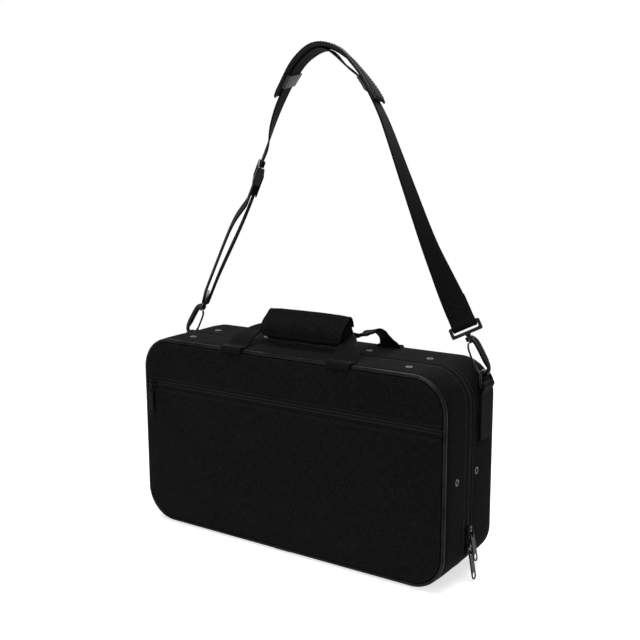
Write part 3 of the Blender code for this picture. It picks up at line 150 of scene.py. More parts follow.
# %% The nodes of a material
class Graph:
    """The nodes of a new material, or of the world that is handed in."""

    def __init__(self, name, world=None):
        self.owner = world or bpy.data.materials.new(name)
        self.owner.use_nodes = True
        self.tree = self.owner.node_tree
        self.tree.nodes.clear()

    def node(self, kind, settings, inputs, output=0):
        """Adds a node: its settings first, then the values or links of its sockets."""
        made = self.tree.nodes.new("ShaderNode" + kind)
        for key, setting in settings.items():
            setattr(made, key, setting)
        for key, value in inputs.items():
            if isinstance(value, Value):
                self.tree.links.new(value.socket, made.inputs[key])
            else:
                made.inputs[key].default_value = value
        return Value(self, made.outputs[output]) if made.outputs else None

    def place(self, output="UV"):
        """Where a point lies: on the UV map in metres, or in the object's own space."""
        return self.node("TexCoord", {}, {}, output)

    def axes(self, vector):
        """The vector's three numbers."""
        split = self.node("SeparateXYZ", {}, {0: vector})
        return [Value(self, split.socket.node.outputs[axis]) for axis in range(3)]

    def vector(self, x, y):
        """Two numbers as a vector in the plane."""
        return self.node("CombineXYZ", {}, {"X": x, "Y": y})

    def noise(self, vector, scale, detail=3.0, roughness=0.55):
        """Cloudy numbers from 0 to 1, scale clouds to the metre."""
        return self.node("TexNoise", {}, {"Vector": vector, "Scale": scale, "Detail": detail,
                                          "Roughness": roughness}, "Fac")

    def colours(self, share, first, second):
        """A blend of two colours, or of one that a link brings, by a share."""
        return self.node("Mix", {"data_type": "RGBA"}, {0: share, 6: first, 7: second}, 2)

    def bump(self, height, distance, strength=1.0, after=None):
        """A normal tilted by the slope of height * distance, on top of the bump before it."""
        inputs = {"Height": height, "Distance": distance, "Strength": strength}
        if after is not None:
            inputs["Normal"] = after
        return self.node("Bump", {}, inputs)

    def finish(self, surface, output="OutputMaterial"):
        """Links the surface to an output, and returns the material or world."""
        self.node(output, {}, {"Surface": surface})
        return self.owner

    def shader(self, inputs):
        """The finished material, from the inputs of its one surface shader."""
        return self.finish(self.node("BsdfPrincipled", {}, inputs))


def grey(level, blue=1.06):
    """A near-neutral dark colour with a trace of blue, as dyed black yarn has."""
    return (level, level, level * blue, 1.0)


print("graph ready, black at", grey(0.01))

# %% [markdown]
# ## The finishes
# Everything on this case is black, so what tells the parts apart is how each one takes the light.
# The woven cloth is matt and has a faint fuzz, the webbing shows ribs, the piping is smooth vinyl
# that mirrors the lamps in a thin line, and the hooks are moulded plastic.
# Each pattern is worked out from the UV map, whose unit is the metre, so a thread is as wide on
# the pocket as on the flap. Lint and rubbed edges are what keep black cloth from looking like a hole.

# %% Woven cloth
THREAD = 0.00062
CLOTH_LEVEL = 0.0066


def cloth_finish(name, level=CLOTH_LEVEL, thread=THREAD, fuzz=0.012):
    """Plain weave: the product of two waves at right angles, its rows shifted a little by noise."""
    graph = Graph(name)
    uv = graph.place()
    drift = graph.noise(uv, 140.0, 2.0) * (thread * 1.2)
    across, along, _ = graph.axes(uv)
    rate = math.pi / thread
    warp = ((across + drift) * rate).sine()
    weft = ((along + drift) * rate).sine()
    weave = warp * weft * 0.5 + 0.5
    yarn = graph.noise(uv, 1500.0, 2.0)
    thick_warp = graph.noise(graph.vector(across * 7.0, along), 130.0, 2.0)
    thick_weft = graph.noise(graph.vector(across, along * 7.0), 130.0, 2.0)
    slubs = (thick_warp + thick_weft).between(0.84, 1.16)
    cloudy = graph.noise(graph.place("Object"), 16.0, 4.0)
    lint = graph.noise(uv, 620.0, 1.0).between(0.735, 0.79)
    wear = graph.node("Attribute", {"attribute_name": "wear"}, {}, "Fac")
    shade = weave * 0.26 + yarn * 0.22 + cloudy * 0.38 + slubs * 0.46
    colour = graph.colours(shade, grey(level * 0.25), grey(level * 1.70))
    colour = graph.colours(wear * 0.5, colour, grey(level * 2.6))
    colour = graph.colours(lint * 0.30, colour, grey(level * 4.2, 1.0))
    height = weave + yarn * 0.35
    return graph.shader({
        "Base Color": colour,
        "Roughness": 0.97 - weave * 0.16,
        "Specular IOR Level": 0.02,
        "Sheen Weight": fuzz,
        "Sheen Roughness": 0.45,
        "Sheen Tint": (0.55, 0.57, 0.62, 1.0),
        "Normal": graph.bump(height, 0.00016, 0.75),
    })


CLOTH = cloth_finish("woven_cloth")
print("cloth thread", THREAD)

# %% [markdown]
# ## Webbing
# Webbing is woven so thick that ribs run across the band, crossed by slanting yarns, with a plain
# selvedge at each edge. Its UV map counts from the middle, so both edges come out alike.

# %% Webbing
RIB = 0.0023
SELVEDGE_START, SELVEDGE_END = 0.0106, 0.0116


def webbing_finish(name, level=0.0052, rib=RIB):
    """Ribs across the band, each one crossed by slanting yarns, and plain selvedges."""
    graph = Graph(name)
    uv = graph.place()
    across, along, _ = graph.axes(uv)
    wander = graph.noise(uv, 90.0, 2.0) * (rib * 0.25)
    ribs = ((along + wander) * (2 * math.pi / rib)).sine() * 0.5 + 0.5
    slant = ((across + along * 0.6) * (2 * math.pi / (rib * 0.62))).sine() * 0.5 + 0.5
    yarn = graph.noise(uv, 1300.0, 2.0)
    plain = across.size().between(SELVEDGE_START, SELVEDGE_END)
    weave = graph.node("Mix", {"data_type": "FLOAT"}, {0: plain, 2: ribs * 0.72 + slant * 0.28, 3: 0.55})
    dull = graph.noise(graph.place("Object"), 34.0, 3.0)
    shade = weave * 0.72 + yarn * 0.20 + dull * 0.20
    colour = graph.colours(shade, grey(level * 0.35), grey(level * 1.60))
    return graph.shader({
        "Base Color": colour,
        "Roughness": 0.74 - weave * 0.20 + dull * 0.10,
        "Specular IOR Level": 0.03,
        "Sheen Weight": 0.004,
        "Sheen Roughness": 0.4,
        "Sheen Tint": (0.6, 0.62, 0.68, 1.0),
        "Normal": graph.bump(weave + yarn * 0.25, 0.00020, 0.70),
    })


WEBBING = webbing_finish("webbing")
print("webbing rib", RIB)

# %% [markdown]
# ## Vinyl
# Thin vinyl gleams where it is taut and dulls where it creases, so its roughness and clear coat
# change in soft clouds, and creases and a leather grain bend its normal.

# %% Vinyl
def vinyl_finish(name, level, roughness, coat=0.35, gloss=0.12, crease=0.22):
    """Smooth vinyl with a fine leather grain and cloudy gloss."""
    graph = Graph(name)
    uv = graph.place()
    grain = graph.node("TexVoronoi", {"feature": "DISTANCE_TO_EDGE"}, {"Vector": uv, "Scale": 1500.0}, "Distance")
    grain = grain.between(0.0, 0.22)
    clouds = graph.noise(graph.place("Object"), 60.0, 3.0)
    creases = graph.noise(uv, 190.0, 3.0)
    colour = graph.colours(clouds, grey(level * 0.7), grey(level * 1.35))
    return graph.shader({
        "Base Color": colour,
        "Roughness": roughness + clouds * 0.16 - grain * 0.05,
        "Specular IOR Level": gloss,
        "Coat Weight": coat * clouds.between(0.2, 0.7) if coat else 0.0,
        "Coat Roughness": 0.07,
        "Normal": graph.bump(creases, 0.0005, crease, graph.bump(grain, 0.00006, crease * 2.3)),
    })


PIPING = vinyl_finish("piping_vinyl", 0.0018, 0.24, 0.18, 0.05, 0.10)
BAND_VINYL = vinyl_finish("keeper_vinyl", 0.034, 0.36, 0.12, 0.12, 0.12)
PAD_CLOTH = vinyl_finish("pad_vinyl", 0.0240, 0.78, 0.0, 0.04, 0.06)
print("three vinyls")

# %% [markdown]
# ## Zip tape
# Zip tape is a close twill that slants one way on each side of its middle. Taking the sign off the
# distance from the middle is all it takes to turn the slant over.

# %% Zip tape
def twill_finish(name, level, step=0.0009):
    """Ridges sin(2 pi (along + 0.9 |across|) / step), with a little yarn on them."""
    graph = Graph(name)
    uv = graph.place()
    across, along, _ = graph.axes(uv)
    bones = (along + across.size() * 0.9) * (2 * math.pi / step)
    ridge = bones.sine() * 0.5 + 0.5
    yarn = graph.noise(uv, 1600.0, 2.0)
    colour = graph.colours(ridge * 0.6 + yarn * 0.4, grey(level * 0.5), grey(level * 1.5))
    return graph.shader({
        "Base Color": colour,
        "Roughness": 0.9 - ridge * 0.18,
        "Specular IOR Level": 0.05,
        "Sheen Weight": 0.01,
        "Normal": graph.bump(ridge + yarn * 0.3, 0.00018, 0.7),
    })


ZIP_TAPE_CLOTH = twill_finish("zip_tape_cloth", 0.0050)
ZIP_EDGE_CLOTH = twill_finish("zip_edge_cloth", 0.009)
print("two zip tapes")

# %% [markdown]
# ## Nylon, plastic, enamel and nickel
# Moulded plastic has a faint orange peel and pales where it rubs. Nylon teeth and waxed thread take
# light in the same way, and enamel is this finish made metallic. Nickel dulls in spots.

# %% Hard finishes
def moulded_finish(name, level, roughness, metallic=0.0, scuff=0.10):
    """Moulded plastic or enamelled metal: a fine orange peel and rubbed, brighter patches."""
    graph = Graph(name)
    spot = graph.place("Object")
    peel = graph.noise(spot, 2200.0, 1.0)
    rubbed = graph.noise(spot, 260.0, 4.0, 0.7).between(0.55, 0.72)
    clouds = graph.noise(spot, 70.0, 2.0)
    colour = graph.colours(rubbed * scuff, grey(level), grey(level * 5.0, 1.0))
    return graph.shader({
        "Base Color": colour,
        "Metallic": metallic,
        "Specular IOR Level": 0.16,
        "Roughness": roughness + clouds * 0.12 - rubbed * 0.06,
        "Normal": graph.bump(peel, 0.00005, 0.35),
    })


def nickel_finish(name):
    """Plated steel with a fine noise bump, darker where the plating has dulled."""
    graph = Graph(name)
    spot = graph.place("Object")
    dull = graph.noise(spot, 900.0, 3.0)
    colour = graph.colours(dull.between(0.4, 0.75), (0.12, 0.119, 0.117, 1.0), (0.022, 0.021, 0.021, 1.0))
    return graph.shader({
        "Base Color": colour,
        "Metallic": 1.0,
        "Roughness": 0.26 + dull * 0.24,
        "Normal": graph.bump(dull, 0.00004, 0.3),
    })


NYLON = moulded_finish("nylon_coil", 0.006, 0.42)
POCKET_NYLON = moulded_finish("pocket_nylon_coil", 0.020, 0.45)
THREAD_FINISH = moulded_finish("sewing_thread", 0.028, 0.55)
DARK_THREAD = moulded_finish("webbing_thread", 0.008, 0.6)
PLASTIC = moulded_finish("moulded_plastic", 0.0035, 0.18)
ENAMEL = moulded_finish("black_enamel", 0.006, 0.18, 0.85, 0.10)
NICKEL = nickel_finish("nickel_rivet")
print("seven hard finishes")

# %% [markdown]
# ## Plush
# Plush is dark where one looks into its pile and pale where it lies over. Slow noise gives the
# strokes that a hand leaves in it, fine noise the pile, and sheen the gleam at its edges.

# %% Plush
def plush_finish(name, level=0.010):
    """Strokes and pile summed into one shade, under a strong sheen."""
    graph = Graph(name)
    spot = graph.place("Object")
    strokes = graph.noise(spot, 24.0, 3.0)
    pile = graph.noise(spot, 1400.0, 2.0)
    shade = strokes * 0.7 + pile * 0.4
    colour = graph.colours(shade, grey(level * 0.5, 1.1), grey(level * 1.9, 1.12))
    return graph.shader({
        "Base Color": colour,
        "Roughness": 1.0,
        "Specular IOR Level": 0.15,
        "Sheen Weight": 0.55,
        "Sheen Roughness": 0.3,
        "Sheen Tint": (0.35, 0.36, 0.42, 1.0),
        "Normal": graph.bump(pile + strokes * 0.5, 0.0003, 0.6),
    })


PLUSH = plush_finish("plush_lining")
print("materials", len(bpy.data.materials))

# %% [markdown]
# ## Surfaces from numbers
# Every new piece is a grid of points that a formula gives, computed for the whole grid at once.
# A skin gathers such grids and writes them into one mesh. It also lays out the UV map by measuring
# the grid itself, so that one UV unit is one metre of cloth in both directions. A tube is a grid
# that closes round its section, and a hoop one that closes along its path too.

# %% A skin of grids
class Skin:
    """Grids of points, joined into one mesh with a UV map in metres."""

    def __init__(self):
        self.points, self.quads, self.polygons = [], [], []
        self.quad_uv, self.polygon_uv, self.wear = [], [], []
        self.count = 0

    def grid(self, points, rows_closed=False, columns_closed=False, caps=False, wear=None, centred=False,
             uv_map=None):
        """Adds one grid (rows, columns, 3), or many alike (copies, rows, columns, 3).

        UV: the distance along the columns is the mean step between neighbouring rows, summed, and
        across them the mean step between neighbouring columns, summed; centred measures the
        distance across from the middle of the grid. A flat panel gives its own uv_map instead."""
        points = np.asarray(points, float)
        if points.ndim == 3:
            points = points[None]
        copies, rows, columns = points.shape[:3]
        row_next = np.roll(points, -1, axis=1)
        column_next = np.roll(points, -1, axis=2)
        row_steps = np.linalg.norm(row_next - points, axis=3).mean(axis=2).mean(axis=0)
        column_steps = np.linalg.norm(column_next - points, axis=3).mean(axis=1).mean(axis=0)
        along = np.concatenate([[0.0], np.cumsum(row_steps)])
        across = np.concatenate([[0.0], np.cumsum(column_steps)])
        if centred:
            across = across - across[columns - 1] / 2
        row = np.arange(rows if rows_closed else rows - 1)
        column = np.arange(columns if columns_closed else columns - 1)
        r, c = np.meshgrid(row, column, indexing="ij")
        r, c = r.ravel(), c.ravel()
        corners = [(r, c), (r + 1, c), (r + 1, c + 1), (r, c + 1)]
        quads = np.stack([(a % rows) * columns + b % columns for a, b in corners], axis=-1)
        uv = np.stack([np.stack([across[b], along[a]], axis=-1) for a, b in corners], axis=1)
        if uv_map is not None:
            uv = uv_map.reshape(-1, 2)[quads]
        start = self.count + np.arange(copies)[:, None, None] * rows * columns
        self.quads.append((quads[None] + start).reshape(-1, 4))
        self.quad_uv.append(np.tile(uv, (copies, 1, 1)))
        if caps:
            ring = np.arange(columns)
            for copy in range(copies):
                for first in (0, (rows - 1) * columns):
                    self.polygons.append(self.count + copy * rows * columns + first + ring)
                    self.polygon_uv.append(np.stack([across[:columns], across[:columns] * 0], axis=-1))
        self.points.append(points.reshape(-1, 3))
        worn = np.zeros(points.shape[:3]) if wear is None else np.broadcast_to(wear, points.shape[:3])
        self.wear.append(worn.reshape(-1))
        self.count += copies * rows * columns
        return self

    def slab(self, front, rear, wear=None, uv_map=None):
        """A closed body between two grids of equal size, joined along their edge."""
        front, rear = np.asarray(front, float), np.asarray(rear, float)
        start = self.count
        self.grid(front, wear=wear, uv_map=uv_map)
        self.grid(rear, uv_map=uv_map)
        rows, columns = front.shape[:2]
        index = np.arange(rows * columns).reshape(rows, columns)
        edge = np.concatenate([index[0, :-1], index[:-1, -1], index[-1, :0:-1], index[:0:-1, 0]])
        near, far = start + edge, start + rows * columns + edge
        self.quads.append(np.stack([near, np.roll(near, -1), np.roll(far, -1), far], axis=-1))
        flat = front.reshape(-1, 3)[edge]
        run = np.concatenate([[0.0], np.cumsum(np.linalg.norm(np.roll(flat, -1, axis=0) - flat, axis=1))])
        deep = np.linalg.norm(flat - rear.reshape(-1, 3)[edge], axis=1).mean()
        low, high = np.zeros(len(edge)), np.full(len(edge), deep)
        self.quad_uv.append(np.stack([np.stack([low, run[:-1]], -1), np.stack([low, run[1:]], -1),
                                      np.stack([high, run[1:]], -1), np.stack([high, run[:-1]], -1)], axis=1))
        return self

    def tube(self, points, centred=False):
        """A grid whose columns meet round its section, with a face over each end."""
        return self.grid(points, columns_closed=True, caps=True, centred=centred)

    def hoop(self, points, wear=None):
        """A grid closed both ways, as a ring is."""
        return self.grid(points, rows_closed=True, columns_closed=True, wear=wear)

    def build(self, name, finish, body, replaces=(), slot=None, ride=True):
        """Writes the mesh, turns its faces outwards and lets it ride on its body."""
        mesh = bpy.data.meshes.new(name)
        points = np.concatenate(self.points)
        quads = np.concatenate(self.quads)
        sizes = [4] * len(quads) + [len(p) for p in self.polygons]
        corners = np.concatenate([quads.ravel()] + self.polygons)
        uv = np.concatenate([np.concatenate(self.quad_uv).reshape(-1, 2)] + self.polygon_uv)
        mesh.vertices.add(len(points))
        mesh.vertices.foreach_set("co", points.ravel())
        mesh.loops.add(len(corners))
        mesh.loops.foreach_set("vertex_index", corners.astype(np.int32))
        mesh.polygons.add(len(sizes))
        mesh.polygons.foreach_set("loop_start", np.concatenate([[0], np.cumsum(sizes)[:-1]]).astype(np.int32))
        mesh.update(calc_edges=True)
        layer = mesh.uv_layers.new(name="UVMap")
        layer.data.foreach_set("uv", uv.ravel())
        worn = mesh.attributes.new("wear", "FLOAT", "POINT")
        worn.data.foreach_set("value", np.concatenate(self.wear))
        shape = bmesh.new()
        shape.from_mesh(mesh)
        bmesh.ops.recalc_face_normals(shape, faces=shape.faces)
        shape.to_mesh(mesh)
        shape.free()
        mesh.shade_smooth()
        mesh.set_sharp_from_angle(angle=math.radians(50))
        mesh.materials.append(finish)
        piece = bpy.data.objects.new(name, mesh)
        bpy.context.collection.objects.link(piece)
        if ride:
            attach(piece, body)
        if replaces:
            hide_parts(*replaces)
        print(f"{name}: {len(quads)} quads on {body}")
        return piece


print("skin ready")

# %% [markdown]
# ## Paths and sections
# Cord, webbing and wire are all a section carried along a path: a smooth curve through a few
# measured points, taken again at even steps, with the section turning as it goes.

# %% Directions and curves
def unit(vectors):
    """Each vector over its own length."""
    vectors = np.asarray(vectors, float)
    return vectors / np.maximum(np.linalg.norm(vectors, axis=-1, keepdims=True), 1e-12)


def headings(path, closed=False):
    """The direction at each point: from the one before it to the one after it."""
    if closed:
        return unit(np.roll(path, -1, axis=0) - np.roll(path, 1, axis=0))
    before = np.concatenate([path[:1], path[:-1]])
    after = np.concatenate([path[1:], path[-1:]])
    return unit(after - before)


def curve_through(points, steps):
    """A smooth curve through points of any size: on each stretch, the cubic whose slope at a point
    is half the step from its left neighbour to its right one."""
    points = np.asarray(points, float)
    padded = np.concatenate([[points[0] * 2 - points[1]], points, [points[-1] * 2 - points[-2]]])
    t = np.linspace(0.0, 1.0, steps, endpoint=False)[None, :, None]
    p0, p1, p2, p3 = (padded[i:len(padded) - 3 + i, None] for i in range(4))
    run = 0.5 * (2 * p1 + (p2 - p0) * t + (2 * p0 - 5 * p1 + 4 * p2 - p3) * t ** 2
                 + (3 * p1 - p0 - 3 * p2 + p3) * t ** 3)
    return np.concatenate([run.reshape(-1, points.shape[1]), points[-1:]])


def even_path(path, step, *others):
    """The path, and rows that go with it, sampled again at even steps along its length."""
    reach = np.concatenate([[0.0], np.cumsum(np.linalg.norm(np.diff(path, axis=0), axis=1))])
    wanted = np.linspace(0.0, reach[-1], max(int(reach[-1] / step), 2) + 1)
    rows = [np.stack([np.interp(wanted, reach, row[:, k]) for k in range(row.shape[1])], axis=-1)
            for row in (path,) + others]
    return rows + [wanted]


print("curves ready")

# %% Sections
def carried(path, first, section, closed=False):
    """A section carried along a path: point + first * a + (heading x first) * b."""
    ahead = headings(path, closed)
    first = np.broadcast_to(np.asarray(first, float), path.shape)
    first = unit(first - ahead * (first * ahead).sum(axis=1, keepdims=True))
    second = unit(np.cross(ahead, first))
    section = np.broadcast_to(np.asarray(section, float), (len(path),) + np.asarray(section).shape[-2:])
    return path[:, None] + first[:, None] * section[..., :1] + second[:, None] * section[..., 1:]


def circle(radius, sides=16):
    """A round section: radius * (cos, sin) at even turns."""
    turn = np.arange(sides) * 2 * np.pi / sides
    return np.stack([radius * np.cos(turn), radius * np.sin(turn)], axis=-1)


def band(width, thick, selvedge=0.0, flat=7, round_steps=4):
    """Webbing seen end on: two flat faces and two rounded edges, a little thicker at the selvedge."""
    half, high = width / 2 - thick / 2, thick / 2
    x = np.linspace(-half, half, flat)
    bulge = high + selvedge * (np.abs(x) / half) ** 6
    arc = np.linspace(-np.pi / 2, np.pi / 2, round_steps + 2)[1:-1]
    edge = high + selvedge
    low = np.stack([x, -bulge], axis=-1)
    right_edge = np.stack([half + edge * np.cos(arc), edge * np.sin(arc)], axis=-1)
    high_side = np.stack([x[::-1], bulge[::-1]], axis=-1)
    left_edge = np.stack([-half - edge * np.cos(arc), -edge * np.sin(arc)], axis=-1)
    return np.concatenate([low, right_edge, high_side, left_edge])


print("band of", len(band(0.025, 0.0015)), "points")

# %% [markdown]
# ## Unevenness
# Cloth over foam is never quite flat. A few slow waves, in directions that a seed picks, give each
# piece its own soft dents, and a smooth step fades them out towards its edges.

# %% Waves and steps
def ripple(points, size, reach, seed):
    """A smooth made-up unevenness: five slow waves in directions that the seed picks, times size."""
    rng = np.random.default_rng(seed)
    flat = points.reshape(-1, 3)
    total = np.zeros(len(flat))
    for _ in range(5):
        way = unit(rng.normal(size=3)) * 2 * np.pi / (reach * rng.uniform(0.6, 1.6))
        total += np.sin(flat @ way + rng.uniform(0, 2 * np.pi))
    return (total * size / 5).reshape(points.shape[:-1])


def smooth_step(low, high, value):
    """0 below low, 1 above high, 3t^2 - 2t^3 between."""
    t = np.clip((value - low) / (high - low), 0.0, 1.0)
    return t * t * (3 - 2 * t)


def quarter(share):
    """Up a quarter circle as share goes from 0 to 1: sqrt(1 - (1 - share)^2)."""
    return np.sqrt(1 - (1 - np.clip(share, 0.0, 1.0)) ** 2)


def points_of(x, y, z):
    """Three arrays that broadcast together, as points."""
    return np.stack(np.broadcast_arrays(x, y, z), axis=-1)


print("helpers ready")

# %% [markdown]
# ## Sewing thread
# Seams on real luggage are rows of lockstitch, about eight stitches in 25 mm. Each stitch shows as
# a short bead that dips into the cloth at both ends. One bead is worked out once, and then placed
# along a path at even steps, so hundreds of stitches stay a few dozen faces each.

# %% Stitches along a path
STITCH_PITCH = 0.0033
STITCH_LENGTH = 0.0025
STITCH_THREAD = 0.00030
STITCH_SINK = 0.00022


def stitch_grids(path, outward, pitch=STITCH_PITCH, length=STITCH_LENGTH, thread=STITCH_THREAD):
    """Beads whose middle line is an arch, thread * sqrt(1 - t^2) high, t from -1 to 1 along it."""
    outward = np.broadcast_to(np.asarray(outward, float), path.shape)
    path, outward, _ = even_path(np.asarray(path, float), pitch, outward)
    ahead = headings(path)
    outward = unit(outward - ahead * (outward * ahead).sum(axis=1, keepdims=True))
    side = np.cross(ahead, outward)
    t = np.array([-1.0, -0.72, 0.0, 0.72, 1.0])
    arch = np.sqrt(np.maximum(1 - t ** 2, 0.0)) * thread * 0.9 - thread * 0.35
    round_share = np.array([0.55, 0.9, 1.0, 0.9, 0.55])
    turn = np.arange(6) * np.pi / 3
    middle = (path[:, None] + ahead[:, None] * (t * length / 2)[None, :, None]
              + outward[:, None] * arch[None, :, None])
    ring = (side[:, None, None] * np.cos(turn)[None, None, :, None]
            + outward[:, None, None] * np.sin(turn)[None, None, :, None])
    return middle[:, :, None] + ring * (thread * round_share)[None, :, None, None]


print("stitch", STITCH_LENGTH, "every", STITCH_PITCH)

# %% [markdown]
# ## The outline of the case
# Both halves share one rounded rectangle. A single number, the distance walked round it from the
# middle of the bottom, gives a point and the direction that faces outwards there. Every band, zip
# and piping is then this walk with a section carried along it.

# %% Case sizes
LENGTH, DEPTH, HEIGHT = 0.377, 0.105, 0.210
CORNER = 0.036
BASE = 0.0025
TOP = BASE + HEIGHT
FRONT, BACK = -DEPTH / 2, DEPTH / 2
SPLIT = -0.003
HALF = LENGTH / 2
GAP = 0.0003
WALL = 0.005
CORD_RADIUS = 0.002
PANEL_INSET = 2 * CORD_RADIUS + GAP
BOARD = FRONT + 0.0070
LID_INNER = BOARD + 0.004
REAR_INNER = BACK - 0.006
ZIP_SEAT = 0.0015

RUN_X, RUN_Z, RUN_ARC = LENGTH - 2 * CORNER, HEIGHT - 2 * CORNER, math.pi / 2 * CORNER
KNOTS = np.cumsum([0.0, RUN_X / 2, RUN_ARC, RUN_Z, RUN_ARC, RUN_X, RUN_ARC, RUN_Z, RUN_ARC, RUN_X / 2])
AROUND = KNOTS[-1]
print("once round the case", round(AROUND, 4))

# %% The walk round the outline
def walk(distance):
    """Point (x, z) and outward direction at a distance round the outline, anticlockwise from the
    middle of the bottom: four lines, and four arcs centre + CORNER * (cos, sin)."""
    distance = np.mod(np.asarray(distance, float), AROUND)
    part = np.clip(np.searchsorted(KNOTS, distance, side="right") - 1, 0, 8)
    local = distance - KNOTS[part]
    cx, low_z, high_z = HALF - CORNER, BASE + CORNER, TOP - CORNER
    a = local / CORNER
    zero, one = np.zeros_like(a), np.ones_like(a)
    rows = {
        0: (local, BASE + zero, zero, -one), 2: (HALF + zero, low_z + local, one, zero),
        4: (cx - local, TOP + zero, zero, one), 6: (-HALF + zero, high_z - local, -one, zero),
        8: (-cx + local, BASE + zero, zero, -one),
    }
    arcs = {1: (cx, low_z, -90), 3: (cx, high_z, 0), 5: (-cx, high_z, 90), 7: (-cx, low_z, 180)}
    for number, (mx, mz, start) in arcs.items():
        angle = math.radians(start) + a
        rows[number] = (mx + CORNER * np.cos(angle), mz + CORNER * np.sin(angle), np.cos(angle), np.sin(angle))
    x, z, nx, nz = (np.choose(part, [rows[number][k] for number in range(9)]) for k in range(4))
    return np.stack([x, z], axis=-1), np.stack([nx, nz], axis=-1)


def round_the_case(distance, profile):
    """Rows along the walk, columns along a profile of (depth below the outline, y)."""
    place, out = walk(distance)
    profile = np.asarray(profile, float)
    if profile.ndim == 2:
        profile = np.broadcast_to(profile, (len(place),) + profile.shape)
    inset, y = profile[..., 0], profile[..., 1]
    x = place[:, None, 0] - out[:, None, 0] * inset
    z = place[:, None, 1] - out[:, None, 1] * inset
    return points_of(x, y, z)


def stations(step=0.0022, start=0.0, end=AROUND, closed=True):
    """Even distances for the walk."""
    return np.linspace(start, end, int((end - start) / step) + 1)[:-1 if closed else None]


print("half way round", walk([AROUND / 2])[0].round(4))

# %% [markdown]
# ## The two half shells
# Each shell is a tray of stiff board and foam with cloth stretched over it. The band round the side
# is a long strip of that cloth, turned in at both edges, and slightly full between them because of
# the foam. It is one closed section carried round the case: outside face, rim, inner wall, shoulder.

# %% The side bands
BAND_FRONT, BAND_BACK = FRONT + PANEL_INSET, BACK - PANEL_INSET
ZIP_BAND = 0.0058
RIM = 0.0003
FULLNESS = 0.00055
EDGE_TURN = 0.0011


def outer_band(near, far, count=22):
    """Columns (depth, y) over a band's outside face: each edge turns in over a quarter circle, and
    the face stands proud by FULLNESS * (1 - t^4), t from -1 to 1 across it."""
    turns = np.linspace(0.0, np.pi / 2, 5)
    way = 1 if far > near else -1
    first = np.stack([EDGE_TURN * (1 - np.sin(turns)), near + way * EDGE_TURN * (1 - np.cos(turns))], -1)
    last = np.stack([EDGE_TURN * (1 - np.cos(turns)), far - way * EDGE_TURN * (1 - np.sin(turns))], -1)
    y = np.linspace(near + way * EDGE_TURN, far - way * EDGE_TURN, count)[1:-1]
    t = (y - (near + far) / 2) / (abs(far - near) / 2)
    middle = np.stack([-FULLNESS * (1 - t ** 4), y], -1)
    return np.concatenate([first, middle, last])


def shell_ring(near, far, rim, shoulder):
    """The closed section of one shell: outside band, zip seat, rim, inner wall and shoulder."""
    band_columns = outer_band(near, far)
    rest = [(ZIP_SEAT, far), (ZIP_SEAT, rim), (WALL, rim), (WALL, shoulder), (PANEL_INSET, shoulder),
            (PANEL_INSET, near)]
    section = np.concatenate([band_columns, rest])
    points = round_the_case(stations(), section)
    spread = np.zeros(len(section))
    spread[4:len(band_columns) - 4] = 1.0
    uneven = ripple(points, 0.00022, 0.045, 3) * spread
    out = walk(stations())[1]
    points[..., 0] += out[:, None, 0] * uneven
    points[..., 2] += out[:, None, 1] * uneven
    wear = np.zeros(len(section))
    wear[:4] = wear[len(band_columns) - 4:len(band_columns)] = 0.55
    return points, wear


def seam_round(y, depth):
    """A row of stitches round the case at one depth and one y."""
    distance = stations(0.004, closed=False)
    path = round_the_case(distance, [(depth, y)])[:, 0]
    out = walk(distance)[1]
    return stitch_grids(path, points_of(out[:, 0], 0.0, out[:, 1]))


lid_skin = Skin()
points, wear = shell_ring(BAND_FRONT, SPLIT - ZIP_BAND, SPLIT - RIM, LID_INNER)
lid_skin.hoop(points, wear)
rear_skin = Skin()
points, wear = shell_ring(BAND_BACK, SPLIT + ZIP_BAND, SPLIT + RIM, REAR_INNER)
rear_skin.hoop(points, wear)
print("band widths", round(SPLIT - ZIP_BAND - BAND_FRONT, 4), round(BAND_BACK - SPLIT - ZIP_BAND, 4))

# %% [markdown]
# ## Flat panels with rounded corners
# A panel is a grid whose rows are straight and end on the outline, so cloth laid on it keeps its
# threads level. The height of its face follows from how far a point is from the nearest edge:
# it rises steeply over the folded hem and then swells slowly over the foam.

# %% A panel as a height over a flat grid
HEM_STEPS = np.array([0.0, 0.00025, 0.0006, 0.0011, 0.0018, 0.0027, 0.004, 0.006, 0.009, 0.013, 0.018])


def spaced(low, high, corner_low, corner_high, step):
    """Positions from low to high: close together at the hems and at even angles through corners."""
    angle = np.linspace(0.0, np.pi / 2, 13)
    near = np.concatenate([HEM_STEPS, corner_low * (1 - np.cos(angle))])
    far = np.concatenate([HEM_STEPS, corner_high * (1 - np.cos(angle))])
    inner = np.arange(low + near.max() + step / 2, high - far.max() - step / 2, step)
    every = np.sort(np.concatenate([low + near, inner, high - far]))
    every = every[np.concatenate([[True], np.diff(every) > 0.00008])]
    every[0], every[-1] = low, high
    return every


def edge_distance(x, z, half, low, high, corner_low, corner_high):
    """Distance in from the edge of a rounded rectangle, its corners' radii differing low and high."""
    radius = np.where(z > (low + high) / 2, corner_high, corner_low)
    qx = np.abs(x) - (half - radius)
    qz = np.abs(z - (low + high) / 2) - ((high - low) / 2 - radius)
    outside = np.hypot(np.maximum(qx, 0.0), np.maximum(qz, 0.0))
    return radius - outside - np.minimum(np.maximum(qx, qz), 0.0)


def corner_cut(radius, drop):
    """How far a round corner has come in at a drop from its end: r - sqrt(r^2 - (r - drop)^2)."""
    return radius - np.sqrt(np.maximum(radius ** 2 - np.maximum(radius - drop, 0.0) ** 2, 0.0))


